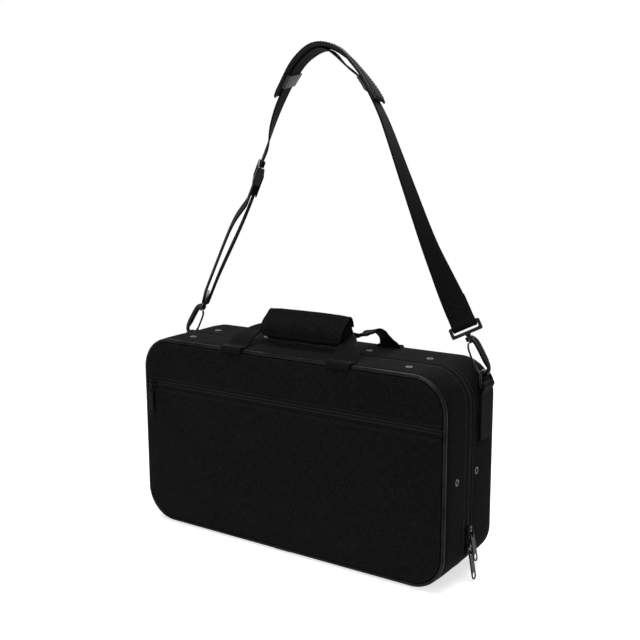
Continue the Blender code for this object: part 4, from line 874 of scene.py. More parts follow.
def panel_grid(half, low, high, corner_low, corner_high, step=0.0032):
    """x and z of a panel's grid; each row is scaled to the outline's width at its height."""
    z = spaced(low, high, corner_low, corner_high, step)
    u = spaced(-half, half, 0.0, 0.0, step)
    width = half - corner_cut(corner_low, z - low) - corner_cut(corner_high, high - z)
    x = u[None, :] * (width / half)[:, None]
    return x, np.broadcast_to(z[:, None], x.shape)


def panel_height(distance, hem, crown, reach):
    """Rise above the seam: a quarter circle over the hem, then crown * (1 - (1 - d / reach)^2)."""
    slow = np.clip(distance / reach, 0.0, 1.0)
    return hem * 0.8 * quarter(distance / hem) + crown * (1 - (1 - slow) ** 2)


print("hem rows", len(HEM_STEPS))

# %% A padded panel
class Panel:
    """A padded panel in the XZ plane that faces one way along Y."""

    def __init__(self, half, low, high, corner_low, corner_high, seam_y, facing, hem, crown, reach, dents, seed):
        self.size = (half, low, high, corner_low, corner_high)
        self.seam_y, self.facing, self.hem, self.crown, self.reach = seam_y, facing, hem, crown, reach
        self.dents, self.seed = dents, seed

    def y(self, x, z):
        """The face's y at (x, z): the seam's y, less the rise and the dents, along the facing."""
        distance = np.maximum(edge_distance(x, z, *self.size), 0.0)
        rise = panel_height(distance, self.hem, self.crown, self.reach)
        flat = points_of(x, 0.0, z)
        dents = ripple(flat, self.dents, 0.13, self.seed) + ripple(flat, self.dents * 0.35, 0.035, self.seed + 9)
        return self.seam_y + self.facing * (rise + dents * smooth_step(0.002, 0.03, distance))

    def add_to(self, skin, rear_y, grooves=()):
        """A slab from the face to rear_y; grooves are heights z where stitching pulls it in."""
        x, z = panel_grid(*self.size)
        y = self.y(x, z)
        for level in grooves:
            y = y - self.facing * 0.00035 * np.exp(-((z - level) / 0.0009) ** 2)
        distance = edge_distance(x, z, *self.size)
        wear = 0.5 * (1 - smooth_step(0.0003, 0.0022, distance))
        skin.slab(points_of(x, y, z), points_of(x, rear_y, z), wear, np.stack([x, z], axis=-1))

    def seam(self, x, z):
        """Stitches on the face along given x and z, half sunk in the cloth."""
        x, z = np.broadcast_arrays(np.asarray(x, float), np.asarray(z, float))
        path = points_of(x, self.y(x, z) - self.facing * STITCH_SINK, z)
        return stitch_grids(path, (0.0, float(self.facing), 0.0))


print("panels ready")

# %% [markdown]
# ## The back of the case
# The rear panel is sewn to the band all round, under the piping. It goes into the rear band's skin,
# because both are cut from one cloth and neither moves without the other.

# %% The rear panel, and the rear shell as one piece
PANEL_HALF = HALF - PANEL_INSET
PANEL_LOW, PANEL_HIGH, PANEL_CORNER = BASE + PANEL_INSET, TOP - PANEL_INSET, CORNER - PANEL_INSET

rear_panel = Panel(PANEL_HALF, PANEL_LOW, PANEL_HIGH, PANEL_CORNER, PANEL_CORNER, BACK - 0.0009, 1,
                   hem=0.0011, crown=0.0011, reach=0.030, dents=0.0004, seed=41)
rear_panel.add_to(rear_skin, REAR_INNER)
rear_skin.build("rear_shell_cloth", CLOTH, "rear_half", ("rear_shell",), "cloth")

# %% [markdown]
# ## The front: a padded strip above, a flat pocket below
# The pocket is a second sheet of cloth sewn over the front board. Its zip runs level from side to
# side, near the top, between two folded hems, and a groove in each hem takes its row of stitches.

# %% Upper panel, pocket panel and the board behind them
ZIP_LINE = BASE + 0.1575
ZIP_HALF = 0.0045
ZIP_LOW, ZIP_HIGH = ZIP_LINE - ZIP_HALF, ZIP_LINE + ZIP_HALF
SMALL_CORNER = 0.003
STITCH_IN = 0.0026
FRONT_SEAM = FRONT + 0.0010

board_x, board_z = panel_grid(PANEL_HALF, PANEL_LOW, PANEL_HIGH, PANEL_CORNER, PANEL_CORNER, 0.012)
lid_skin.slab(points_of(board_x, BOARD, board_z), points_of(board_x, LID_INNER - 0.0001, board_z))
lid_skin.build("lid_shell_cloth", CLOTH, "lid", ("lid_shell",), "cloth")

upper_panel = Panel(PANEL_HALF, ZIP_HIGH, PANEL_HIGH, SMALL_CORNER, PANEL_CORNER, FRONT_SEAM, -1,
                    hem=0.0012, crown=0.0012, reach=0.012, dents=0.00028, seed=11)
upper_skin = Skin()
upper_panel.add_to(upper_skin, BOARD - GAP, (ZIP_HIGH + STITCH_IN,))
upper_piece = upper_skin.build("upper_panel_cloth", CLOTH, "lid", ("upper_panel",), "cloth")

pocket = Panel(PANEL_HALF, PANEL_LOW, ZIP_LOW, PANEL_CORNER, SMALL_CORNER, FRONT_SEAM, -1,
               hem=0.0012, crown=0.0014, reach=0.020, dents=0.00055, seed=23)
pocket_skin = Skin()
pocket.add_to(pocket_skin, BOARD - GAP, (ZIP_LOW - STITCH_IN,))
pocket_skin.build("pocket_cloth", CLOTH, "lid", ("pocket_panel",), "cloth")

# %% [markdown]
# ## The seams of both halves
# The hems beside the pocket's zip are sewn in dark thread, which hardly shows. A paler row runs on
# the zip's upper tape, and the same thread holds the bands along the main zip.

# %% Rows of stitches
TAPE_ROW_Y, TAPE_ROW_Z = FRONT + 0.00094, ZIP_LINE + 0.0034
edge_x = np.linspace(-(PANEL_HALF - 0.004), PANEL_HALF - 0.004, 90)
pocket_seams = Skin()
pocket_seams.tube(upper_panel.seam(edge_x, ZIP_HIGH + STITCH_IN))
pocket_seams.tube(pocket.seam(edge_x, ZIP_LOW - STITCH_IN))
pocket_seams.build("pocket_stitches", DARK_THREAD, "lid", slot="cloth")
front_seams, rear_seams = Skin(), Skin()
front_seams.tube(stitch_grids(points_of(edge_x, TAPE_ROW_Y, TAPE_ROW_Z), (0.0, -1.0, 0.0)))
front_seams.tube(seam_round(SPLIT - ZIP_BAND - STITCH_IN, -FULLNESS * 0.5))
front_seams.build("lid_stitches", THREAD_FINISH, "lid", slot="cloth")
rear_seams.tube(seam_round(SPLIT + ZIP_BAND + STITCH_IN, -FULLNESS * 0.5))
rear_seams.build("rear_stitches", THREAD_FINISH, "rear_half", slot="cloth")

# %% [markdown]
# ## Piping
# Piping is a cord wrapped in a strip of vinyl and sewn into the edge seam. It is the only glossy
# line on the case, and takes a long highlight. It wrinkles a little where it turns the corners, so
# the radius of the carried circle changes by small waves there, and the join under the case overlaps.

# %% Two rings of piping
JOIN_HALF = 0.011


def cord_section(radii, y):
    """Circles of the given radii about the cord's middle, as columns of (depth, y)."""
    section = circle(1.0, 16)[None] * radii[:, None, None]
    return np.array([CORD_RADIUS, y]) + np.stack([-section[..., 0], section[..., 1]], axis=-1)


def piping_ring(y, seed):
    """A circle carried round the outline, its radius varied by fine waves that grow at corners."""
    distance = stations(0.0014)
    out = walk(distance)[1]
    corner = np.minimum(np.abs(out[:, 0]), np.abs(out[:, 1])) * 1.4
    rng = np.random.default_rng(seed)
    waves = sum(np.sin(distance * 2 * np.pi / size + rng.uniform(0, 6.28)) for size in (0.0061, 0.0047, 0.0093))
    radius = CORD_RADIUS * (1 + 0.010 * waves * (0.35 + corner))
    return round_the_case(distance, cord_section(radius, y))


def join_sleeve(y):
    """The overlapped end of the vinyl strip, a short sleeve that tapers at both ends."""
    distance = np.linspace(-JOIN_HALF, JOIN_HALF, 19)
    swell = CORD_RADIUS + 0.00032 * np.sqrt(np.maximum(1 - (distance / JOIN_HALF) ** 8, 0.0))
    return round_the_case(distance, cord_section(swell, y))


for name, y, body, node, seed in (("front_piping_vinyl", FRONT + CORD_RADIUS, "lid", "front_piping", 5),
                                  ("rear_piping_vinyl", BACK - CORD_RADIUS, "rear_half", "rear_piping", 6)):
    skin = Skin()
    skin.hoop(piping_ring(y, seed))
    skin.tube(join_sleeve(y))
    skin.build(name, PIPING, body, (node,), "piping")

# %% [markdown]
# ## Zips
# A coil zip is two nylon threads wound into long springs and sewn to the edges of two tapes.
# Each spring is a helix along the path of the zip: it goes round in depth and in width while it
# moves on by one pitch a turn. The two are half a pitch apart, so their turns interlock.

# %% The main zip
ZIP_TAPE_DEPTH = 0.0012
MAIN_COIL = 0.0019
MAIN_PITCH = 0.0016
MAIN_HELIX = (0.00068, 0.00050, 0.00030)
ZIP_START = KNOTS[1] + math.radians(28) * CORNER
ZIP_END = AROUND - ZIP_START


def tape_section(near, far):
    """A thin closed strip, its outside face slightly domed between near and far."""
    y = np.linspace(near, far, 9)
    t = np.linspace(-1.0, 1.0, 9)
    top = np.stack([0.00035 * t ** 4, y], axis=-1)
    return np.concatenate([top, [(ZIP_TAPE_DEPTH, far), (ZIP_TAPE_DEPTH, near)]])


def helix(distance_to_frame, start, end, pitch, wide, deep, wire, phase, sides=5, per_turn=9):
    """A wire on an ellipse that moves on by pitch a turn; the frame gives point, wide and deep ways."""
    turns = (end - start) / pitch
    angle = np.linspace(0.0, turns * 2 * np.pi, int(turns * per_turn)) + phase
    distance = start + (angle - phase) / (2 * np.pi) * pitch
    place, wide_way, deep_way = distance_to_frame(distance)
    path = place + wide_way * (wide * np.cos(angle))[:, None] + deep_way * (deep * np.sin(angle))[:, None]
    ahead = np.cross(wide_way, deep_way)
    return carried(path, ahead, circle(wire, sides))


def main_coil(side, phase):
    """The helix of one side, half as wide and deep as MAIN_HELIX says, of wire as thick as it says."""
    def frame_at(distance):
        place, out = walk(distance)
        y = SPLIT + side * (GAP / 2 + MAIN_COIL / 2)
        outward = points_of(out[:, 0], 0.0, out[:, 1])
        centre = points_of(place[:, 0], y, place[:, 1]) + outward * 0.0002
        return centre, np.broadcast_to([0.0, 1.0, 0.0], centre.shape), outward
    return helix(frame_at, ZIP_START, ZIP_END, MAIN_PITCH, *MAIN_HELIX, phase)


print("main coil", round((ZIP_END - ZIP_START) / MAIN_PITCH), "turns a side")

# %% Two tapes and two coils
along_zip = stations(0.0022, ZIP_START, ZIP_END, closed=False)
for side, hand, body, phase in ((-1, "front", "lid", 0.0), (1, "rear", "rear_half", math.pi)):
    near = SPLIT + side * (GAP / 2 + MAIN_COIL + GAP)
    far = SPLIT + side * (ZIP_BAND - GAP)
    tape = Skin()
    tape.tube(round_the_case(along_zip, tape_section(near, far)))
    ledge = np.array([(0.0011, near - side * 0.0002), (0.0011, SPLIT + side * GAP / 2),
                      (ZIP_SEAT, SPLIT + side * GAP / 2), (ZIP_SEAT, near - side * 0.0002)])
    tape.tube(round_the_case(along_zip, ledge))
    tape.build(f"zip_tape_{hand}_cloth", ZIP_TAPE_CLOTH, body, (f"zip_tape_{hand}",), "zip_cloth")
    Skin().tube(main_coil(side, phase)).build(f"zip_coil_{hand}_teeth", NYLON, body, (f"zip_coil_{hand}",), "nylon")

# %% [markdown]
# ## The pocket's zip
# This zip is finer and runs straight across. Its lower tape is nearly black, its upper tape a
# little paler, and so is the coil, which shows as a thin toothed line.

# %% The pocket's zip
POCKET_PITCH = 0.00125
POCKET_HELIX = (0.00050, 0.00036, 0.00021)
POCKET_TAPE_Y = FRONT + 0.0011
POCKET_TAPE_REAR = POCKET_TAPE_Y + 0.0026
COIL_ROOM = 0.0015


def pocket_coil(side, phase):
    """The helix of one side of the pocket's zip, along x."""
    def frame_at(distance):
        centre = points_of(distance, POCKET_TAPE_Y - 0.00025, ZIP_LINE + side * 0.00056)
        return (centre, np.broadcast_to([0.0, 0.0, 1.0], centre.shape),
                np.broadcast_to([0.0, -1.0, 0.0], centre.shape))
    return helix(frame_at, -PANEL_HALF + 0.001, PANEL_HALF - 0.001, POCKET_PITCH, *POCKET_HELIX, phase)


pocket_tape, upper_tape = Skin(), Skin()
for tape_skin, low, high in ((pocket_tape, ZIP_LOW + GAP, ZIP_LINE - COIL_ROOM),
                             (upper_tape, ZIP_LINE + COIL_ROOM, ZIP_HIGH - GAP)):
    t = np.linspace(-1.0, 1.0, 7)
    z = (low + high) / 2 + t * (high - low) / 2
    grid_x, grid_z = np.meshgrid(np.linspace(-PANEL_HALF, PANEL_HALF, 150), z)
    face = POCKET_TAPE_Y - 0.0006 * (1 - t ** 4)[:, None] + 0.0002
    tape_skin.slab(points_of(grid_x, face, grid_z), points_of(grid_x, POCKET_TAPE_REAR, grid_z))
floor_x, floor_z = np.meshgrid(np.linspace(-PANEL_HALF, PANEL_HALF, 60), [ZIP_LINE - 0.002, ZIP_LINE + 0.002])
pocket_tape.slab(points_of(floor_x, POCKET_TAPE_Y + 0.0012, floor_z),
                 points_of(floor_x, POCKET_TAPE_REAR, floor_z))
pocket_tape.build("pocket_zip_tape_cloth", ZIP_TAPE_CLOTH, "lid", ("pocket_zip_tape",), "zip_cloth")
upper_tape.build("pocket_zip_edge_cloth", ZIP_EDGE_CLOTH, "lid", slot="zip_cloth")
teeth = Skin()
teeth.tube(pocket_coil(-1, 0.0))
teeth.tube(pocket_coil(1, math.pi))
teeth.build("pocket_zip_teeth", POCKET_NYLON, "lid", ("pocket_zip_coil",), "nylon")

# %% [markdown]
# ## The fabric hinge
# Along the bottom the halves are held by a folded strip of webbing. One leaf is sewn to each half,
# and the fold between them is a soft roll that sits on the lid's axis, so nothing tears as it opens.

# %% Leaves and roll
HINGE_REACH = KNOTS[1] + math.radians(25.5) * CORNER
ROLL, ROLL_HALF = 0.0010, 0.148
for side, hand, body in ((-1, "front", "lid"), (1, "rear", "rear_half")):
    leaf = Skin()
    leaf.tube(round_the_case(stations(0.004, -HINGE_REACH, HINGE_REACH, False),
                             tape_section(SPLIT + side * (ROLL + GAP), SPLIT + side * (ZIP_BAND - GAP))))
    leaf.build(f"hinge_leaf_{hand}_webbing", WEBBING, body, (f"hinge_leaf_{hand}",), "webbing")
roll_path = points_of(np.linspace(-ROLL_HALF, ROLL_HALF, 120), SPLIT, BASE - 0.0002)
Skin().tube(carried(roll_path, (0.0, 1.0, 0.0), circle(ROLL, 12))).build(
    "hinge_roll_webbing", WEBBING, "rear_half", ("hinge_roll",), "webbing")

# %% [markdown]
# ## Rivets and feet
# Each side of the case carries plated eyelets that clamp its cloth to the board. An eyelet is a
# body of revolution: a profile of (height, radius) turned about its axis. Four moulded feet stand
# under the case, and they are turned in the same way.

# %% Bodies of revolution
def lathe(profile, centre, axis, sides=28):
    """centre + axis * height + radius * (cos, sin) in the plane across the axis."""
    axis = unit(axis)
    side = np.array([0.0, 0.0, 1.0]) if abs(axis[2]) < 0.9 else np.array([0.0, 1.0, 0.0])
    first = unit(np.cross(axis, side))
    second = np.cross(axis, first)
    profile = np.asarray(profile, float)
    ring = circle(1.0, sides)
    spokes = first * ring[:, :1] + second * ring[:, 1:]
    return np.asarray(centre) + axis * profile[:, None, :1] + spokes[None] * profile[:, None, 1:]


EYELET = [(-0.0030, 0.0032), (0.0001, 0.0034), (0.0005, 0.0036), (0.0009, 0.0034), (0.0011, 0.0030),
          (0.0011, 0.0026), (0.0008, 0.0021), (0.0003, 0.0018), (-0.0010, 0.0017), (-0.0014, 0.0011),
          (-0.0011, 0.0005)]
RIVET_X, RIVET_INNER_X = 0.136, 0.066
RIVET_FRONT_Y, RIVET_REAR_Y = -0.029, 0.014
MIDDLE = BASE + HEIGHT / 2
for body, y, top_places in (("lid", RIVET_FRONT_Y, (RIVET_X,)),
                            ("rear_half", RIVET_REAR_Y, (RIVET_X, RIVET_INNER_X))):
    rivets = Skin()
    for side in (-1, 1):
        for x in top_places:
            rivets.tube(lathe(EYELET, (side * x, y, TOP), (0, 0, 1)))
        rivets.tube(lathe(EYELET, (side * HALF, y, MIDDLE), (side, 0, 0)))
    rivets.build(f"{body}_eyelets", NICKEL, body, slot="black_metal")

FOOT_X, FOOT_Y = 0.105, 0.040
FOOT_PROFILE = [(-0.0015, 0.0060), (0.0002, 0.0066), (0.0009, 0.0068), (0.0016, 0.0063), (0.0021, 0.0056),
                (0.00245, 0.0046), (0.0025, 0.0038), (0.0025, 0.0020)]
for hand, side in (("left", -1), ("right", 1)):
    for half_name, y, body in (("front", -FOOT_Y, "lid"), ("rear", FOOT_Y, "rear_half")):
        Skin().tube(lathe(FOOT_PROFILE, (side * FOOT_X, y, BASE), (0, 0, -1), 32)).build(
            f"foot_{half_name}_{hand}_moulded", PLASTIC, body, (f"foot_{half_name}_{hand}",), "plastic")

# %% [markdown]
# ## Small metal parts
# The sliders, their pulls, the strap's eyes and the buckle have the right shape in the CAD model,
# with sharp edges. Real ones are cast or stamped, and their edges are soft. A copy of each node is
# welded back from loose triangles into one skin, and a narrow bevel rounds its edges.

# %% Copies with softened edges
def softened(node, name, finish, body, width=0.00028):
    """The node's mesh as a new piece, its doubles merged and its sharp edges bevelled."""
    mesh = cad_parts[node].data.copy()
    mesh.name = name
    shape = bmesh.new()
    shape.from_mesh(mesh)
    bmesh.ops.remove_doubles(shape, verts=shape.verts, dist=0.00001)
    bmesh.ops.dissolve_limit(shape, angle_limit=math.radians(1.0), verts=shape.verts, edges=shape.edges)
    shape.to_mesh(mesh)
    shape.free()
    mesh.materials.clear()
    mesh.materials.append(finish)
    piece = bpy.data.objects.new(name, mesh)
    bpy.context.collection.objects.link(piece)
    bevel = piece.modifiers.new("soft_edges", "BEVEL")
    bevel.width, bevel.segments = width, 2
    bevel.limit_method, bevel.angle_limit = "ANGLE", math.radians(32.0)
    bevel.use_clamp_overlap = True
    mesh.shade_smooth()
    mesh.set_sharp_from_angle(angle=math.radians(40))
    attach(piece, body)
    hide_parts(node)
    print(f"{name}: {len(mesh.polygons)} faces before its bevel")
    return piece


for node in ("upper_slider", "lower_slider", "pocket_slider", "upper_pull", "lower_pull", "pocket_pull",
             "pocket_pull_link"):
    softened(node, f"{node}_cast", ENAMEL, node.removesuffix("_link"))
for hand in ("left", "right"):
    softened(f"hook_eye_{hand}", f"hook_eye_{hand}_moulded", PLASTIC, "strap", 0.0005)
softened("strap_adjuster", "strap_adjuster_moulded", PLASTIC, "adjuster", 0.0004)

# %% [markdown]
# ## Inside: linings and fitted trays
# The inside is lined with short plush. The rear half holds three blocks, moulded to the instrument:
# two long channels for the joints, a flared one for the bell, two for barrel and mouthpiece, and a
# box for small things. A tray is a height over its grid: a channel's depth is that of a cylinder
# lying on the surface, sqrt(r^2 - (z - middle)^2), and plush rounds its lips.

# %% Channels as depth
TRAY_FACE = SPLIT + 0.002
TRAY_FLOOR = REAR_INNER - GAP
TRAY_INSET = WALL + GAP
TRAY_WALL = 0.0065
TRAY_SPLIT_Z = BASE + 0.0945
TRAY_SPLIT_X = 0.1015
JOINT_RADIUS, BELL_RADIUS, BELL_NECK = 0.0225, 0.0395, 0.020
BARREL_RADIUS, MOUTHPIECE_RADIUS = 0.0185, 0.0165
LOWER_JOINT, UPPER_JOINT, BELL, BARREL, MOUTHPIECE = 0.260, 0.235, 0.110, 0.068, 0.094
CHANNEL_START = -0.165
LOWER_Z = TRAY_SPLIT_Z + TRAY_WALL + JOINT_RADIUS
UPPER_Z = LOWER_Z + 2 * JOINT_RADIUS + TRAY_WALL
BELL_Z = TRAY_SPLIT_Z - TRAY_WALL / 2 - BELL_RADIUS
LIP = 0.0016


def channel_depth(x, z, start, length, radius, middle, last=None):
    """A half cylinder's depth, its radius growing towards last, with rounded ends and lips."""
    flare = (last or radius) - radius
    share = np.clip((x - start) / length, 0.0, 1.0)
    grown = radius + flare * np.interp(share, (0.0, 0.55, 0.82, 1.0), (0.0, 0.12, 0.55, 1.0))
    depth = np.sqrt(np.maximum(grown ** 2 - (z - middle) ** 2, 0.0))
    ends = smooth_step(-0.0002, 0.0026, np.minimum(x - start, start + length - x))
    return (np.sqrt(depth ** 2 + LIP ** 2) - LIP) * ends


def tray_grid(left, right, low, high, step=0.0016):
    """Rows from low to high, each running between the case's inner outline and the tray's own ends."""
    radius = CORNER - TRAY_INSET
    edge = HALF - TRAY_INSET
    floor_z, roof_z = BASE + TRAY_INSET, TOP - TRAY_INSET
    z = np.linspace(max(low, floor_z), min(high, roof_z), int((high - low) / step))
    limit = edge - corner_cut(radius, z - floor_z) - corner_cut(radius, roof_z - z)
    x_left = np.maximum(left, -limit)
    x_right = np.minimum(right, limit)
    u = np.linspace(0.0, 1.0, int((right - left) / step))
    x = x_left[:, None] * (1 - u) + x_right[:, None] * u
    return x, np.broadcast_to(z[:, None], x.shape)


def tray(name, node, left, right, low, high, depth_at):
    """A plush block with recesses, its rim rounded down by LIP at the edge."""
    x, z = tray_grid(left, right, low, high)
    depth = depth_at(x, z)
    rim = np.minimum(np.minimum(x - x[:, :1], x[:, -1:] - x), np.minimum(z - z[:1], z[-1:] - z))
    rounded = LIP * (1 - quarter(rim / LIP)) * 0.6
    pile = ripple(points_of(x, depth, z), 0.00012, 0.02, len(name))
    y = np.minimum(TRAY_FACE + depth + rounded + pile + 0.0001, TRAY_FLOOR - 0.0015)
    skin = Skin()
    skin.slab(points_of(x, y, z), points_of(x, TRAY_FLOOR, z), uv_map=np.stack([x, z], -1))
    piece = skin.build(name, PLUSH, "rear_half", (node,), "plush")


# %% Three trays
BARREL_START = CHANNEL_START + BELL + 2 * TRAY_WALL
MOUTHPIECE_START = BARREL_START + BARREL + 2 * TRAY_WALL
tray("bell_tray_plush", "bell_tray", -HALF, HALF, 0.0, TRAY_SPLIT_Z - GAP / 2, lambda x, z: np.maximum.reduce([
    channel_depth(x, z, CHANNEL_START, BELL, BELL_NECK, BELL_Z, BELL_RADIUS),
    channel_depth(x, z, BARREL_START, BARREL, BARREL_RADIUS, BELL_Z),
    channel_depth(x, z, MOUTHPIECE_START, MOUTHPIECE, MOUTHPIECE_RADIUS, BELL_Z)]))
tray("joint_tray_plush", "joint_tray", -HALF, TRAY_SPLIT_X - GAP / 2, TRAY_SPLIT_Z + GAP / 2, TOP,
     lambda x, z: np.maximum(channel_depth(x, z, CHANNEL_START, LOWER_JOINT, JOINT_RADIUS, LOWER_Z),
                             channel_depth(x, z, CHANNEL_START, UPPER_JOINT, JOINT_RADIUS, UPPER_Z)))
BOX_LEFT, BOX_LOW = TRAY_SPLIT_X + TRAY_WALL, TRAY_SPLIT_Z + TRAY_WALL
BOX_HALF, BOX_HEIGHT, BOX_DEPTH = 0.0275, 0.088, 0.038
tray("accessory_tray_plush", "accessory_tray", TRAY_SPLIT_X + GAP / 2, HALF, TRAY_SPLIT_Z + GAP / 2, TOP,
     lambda x, z: BOX_DEPTH * smooth_step(0.0, 0.0024, edge_distance(
         x - BOX_LEFT - BOX_HALF, z, BOX_HALF, BOX_LOW, BOX_LOW + BOX_HEIGHT, 0.006, 0.012)))

# %% [markdown]
# ## The lid's lining
# Plush is glued inside the lid's wall and turned over its rim, and a padded board fills the front.
# The lining is a closed section on the walk round the case, the pad a panel's height on a flat back.

# %% The lid's lining and pad
LINING_CLOTH = 0.0015
LINING_FLOOR = LID_INNER + GAP
PAD_SEAT, PAD_LIMIT = 0.0046, 0.008

lining = Skin()
outer, rim_radius = WALL + GAP, LINING_CLOTH / 2
soft_rim = np.linspace(0.0, np.pi, 7)
lining_section = np.concatenate([
    [(outer, LINING_FLOOR)],
    np.stack([outer + rim_radius * (1 - np.cos(soft_rim)), SPLIT - RIM - rim_radius * (1 - np.sin(soft_rim))], -1),
    [(outer + LINING_CLOTH, LINING_FLOOR)]])
lining.hoop(round_the_case(stations(0.003), lining_section))
lining.build("lid_lining_plush", PLUSH, "lid", ("lid_wall_lining",), "plush")

PAD_INSET = WALL + LINING_CLOTH + 2 * GAP
pad_outline = (HALF - PAD_INSET, BASE + PAD_INSET, TOP - PAD_INSET, CORNER - PAD_INSET, CORNER - PAD_INSET)
pad_x, pad_z = panel_grid(*pad_outline)
pad_in = np.maximum(edge_distance(pad_x, pad_z, *pad_outline), 0.0)
pad_rise = (PAD_SEAT + panel_height(pad_in, 0.0014, 0.0022, 0.03)
            + ripple(points_of(pad_x, 0.0, pad_z), 0.0003, 0.05, 8))
lid_pad = Skin()
lid_pad.slab(points_of(pad_x, LINING_FLOOR + np.minimum(pad_rise, PAD_LIMIT), pad_z),
             points_of(pad_x, LINING_FLOOR, pad_z), uv_map=np.stack([pad_x, pad_z], -1))
lid_pad.build("lid_pad_plush", PLUSH, "lid", ("lid_pad",), "plush")

# %% [markdown]
# ## The carrying handles
# Each handle is one length of flat webbing. Its two ends are sewn into the seam behind the piping,
# it folds inwards over the edge of the case, rises on both sides and is folded double in the middle,
# where the hand holds it. The webbing is built where it rests and rides on no body, so it stays
# still when its handle turns.
# Four numbers say how a leg runs: its shares of the reach, the rise, the width and the thickness.
# The front handle's left leg lies slack and rises steeper than its right one.

# %% Routes of the handles
HANDLE_X = 0.004
HANDLE_REACH = 0.067
HANDLE_WEB = 0.027
HANDLE_CLOTH = 0.0016
SEAT = HANDLE_CLOTH / 2 + GAP
HINGE_Y = DEPTH / 2 - 0.0105
FRONT_LEG = np.array([
    (1.0, 0.0, 1.0, 1.0), (0.965, 0.22, 0.96, 1.0), (0.885, 0.5, 0.80, 1.1), (0.825, 0.78, 0.62, 1.5),
    (0.785, 0.93, 0.52, 1.8), (0.72, 1.0, 0.5, 2.0), (0.55, 1.0, 0.5, 2.0), (0.0, 1.0, 0.5, 2.0)])
SLACK_LEG = np.array([
    (1.0, 0.0, 1.0, 1.0), (1.01, 0.25, 1.0, 1.0), (1.01, 0.52, 0.92, 1.0), (0.985, 0.80, 0.74, 1.2),
    (0.92, 0.98, 0.60, 1.5), (0.84, 1.04, 0.52, 1.8), (0.72, 1.0, 0.5, 2.0), (0.0, 1.0, 0.5, 2.0)])
REAR_LEG = np.array([
    (1.03, 0.0, 1.0, 1.0), (1.0, 0.13, 1.0, 1.0), (0.93, 0.30, 0.92, 1.0), (0.85, 0.50, 0.80, 1.1),
    (0.78, 0.74, 0.66, 1.4), (0.72, 0.92, 0.52, 1.9), (0.60, 1.0, 0.5, 2.0), (0.0, 1.0, 0.5, 2.0)])
HANDLE_ROUTES = {-1: (FRONT_LEG, SLACK_LEG), 1: (REAR_LEG, REAR_LEG)}
GRIPS = {-1: np.array([HANDLE_X, -0.007, TOP + 0.0160]), 1: np.array([HANDLE_X, 0.0135, TOP + 0.0150])}
print("handles reach", 2 * HANDLE_REACH)

# %% Webbing along a route, and a sewn box
def handle_plane(side):
    """Hinge point, grip point, the way up the handle's plane and the plane's normal."""
    hinge = np.array([HANDLE_X, side * HINGE_Y, TOP + SEAT])
    rise = unit(GRIPS[side] - hinge)
    normal = np.cross([1.0, 0.0, 0.0], rise)
    return hinge, GRIPS[side], rise, normal if normal[2] > 0 else -normal


def handle_webbing(side, bow):
    """Path, width direction and section of one handle from seam to seam."""
    hinge, grip, rise, normal = handle_plane(side)
    reach = np.linalg.norm(grip - hinge)
    legs = [hinge + np.outer(shares[:, 0] * HANDLE_REACH, [1.0, 0.0, 0.0]) + np.outer(shares[:, 1] * reach, rise)
            + np.outer(bow * np.sin(np.pi * np.minimum(shares[:, 1], 1.0) ** 0.8) ** 2, normal)
            for shares in HANDLE_ROUTES[side]]
    outer = side * (DEPTH / 2 + SEAT)
    fold = [(outer, TOP - 0.0046), (outer, TOP - 0.0022), (outer - side * 0.0002, TOP + SEAT * 0.2),
            (outer - side * SEAT * 1.4, TOP + SEAT * 1.0), (outer - side * 0.0045, TOP + SEAT * 1.05)]
    tail = np.array([(HANDLE_X + HANDLE_REACH, y, z) for y, z in fold])
    right, left = (np.concatenate([tail, leg]) for leg in legs)
    right_sizes, left_sizes = (np.concatenate([np.tile([1.0, 1.0], (len(tail), 1)), shares[:, 2:]])
                               for shares in HANDLE_ROUTES[side])
    mirrored = left[:-1][::-1] * [-1, 1, 1] + [2 * HANDLE_X, 0, 0]
    route = curve_through(np.concatenate([right, mirrored]), 10)
    sizes = curve_through(np.concatenate([right_sizes, left_sizes[:-1][::-1]]), 10)
    route, sizes, _ = even_path(route, 0.0012, sizes)
    ahead = headings(route)
    across = np.cross(normal, ahead)
    lean = smooth_step(0.15, 0.5, np.abs(ahead[:, 0]))[:, None]
    level = np.array([1.0, 0.0, 0.0]) * np.where(np.arange(len(route)) < len(route) / 2, 1, -1)[:, None]
    level = level * np.sign((across[len(tail) * 6] * level[len(tail) * 6]).sum())
    across = unit(level * (1 - lean) + across * lean)
    section = np.stack([band(HANDLE_WEB * w, HANDLE_CLOTH * t, 0.00012) for w, t in sizes])
    return route, across, section, normal


def box_stitch(centre, first, second, width, height, outward):
    """A sewn rectangle with its two diagonals, as four sides and a cross."""
    corner = [centre + first * a * width / 2 + second * b * height / 2 for a, b in ((-1, -1), (1, -1), (1, 1), (-1, 1))]
    lines = [(0, 1), (1, 2), (2, 3), (3, 0), (0, 2), (1, 3)]
    grids = [stitch_grids(np.linspace(corner[a], corner[b], 12), outward, 0.0026, 0.0020, 0.00024) for a, b in lines]
    return np.concatenate(grids)


print("handle routes ready")

# %% Two handles, built where they rest
for name, side, bow, body, case_body in (("front_handle", -1, 0.002, "front_handle", "lid"),
                                         ("rear_handle", 1, 0.0125, "rear_handle", "rear_half")):
    route, across, section, normal = handle_webbing(side, bow)
    piece = Skin().tube(carried(route, across, section), centred=True).build(
        f"{name}_webbing", WEBBING, body, (name, f"{name}_anchor_left", f"{name}_anchor_right"), "webbing", ride=False)
    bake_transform(piece)

# %% [markdown]
# ## The padded wrap
# A padded sleeve is sewn round the grip, and a flap folds over both handles and is held by hook and
# loop tape. Both are surfaces round one axis: a point is the axis plus a radius at an angle. The
# flap's edge is bound, so its height falls off at the rim and dips along the row of stitches.

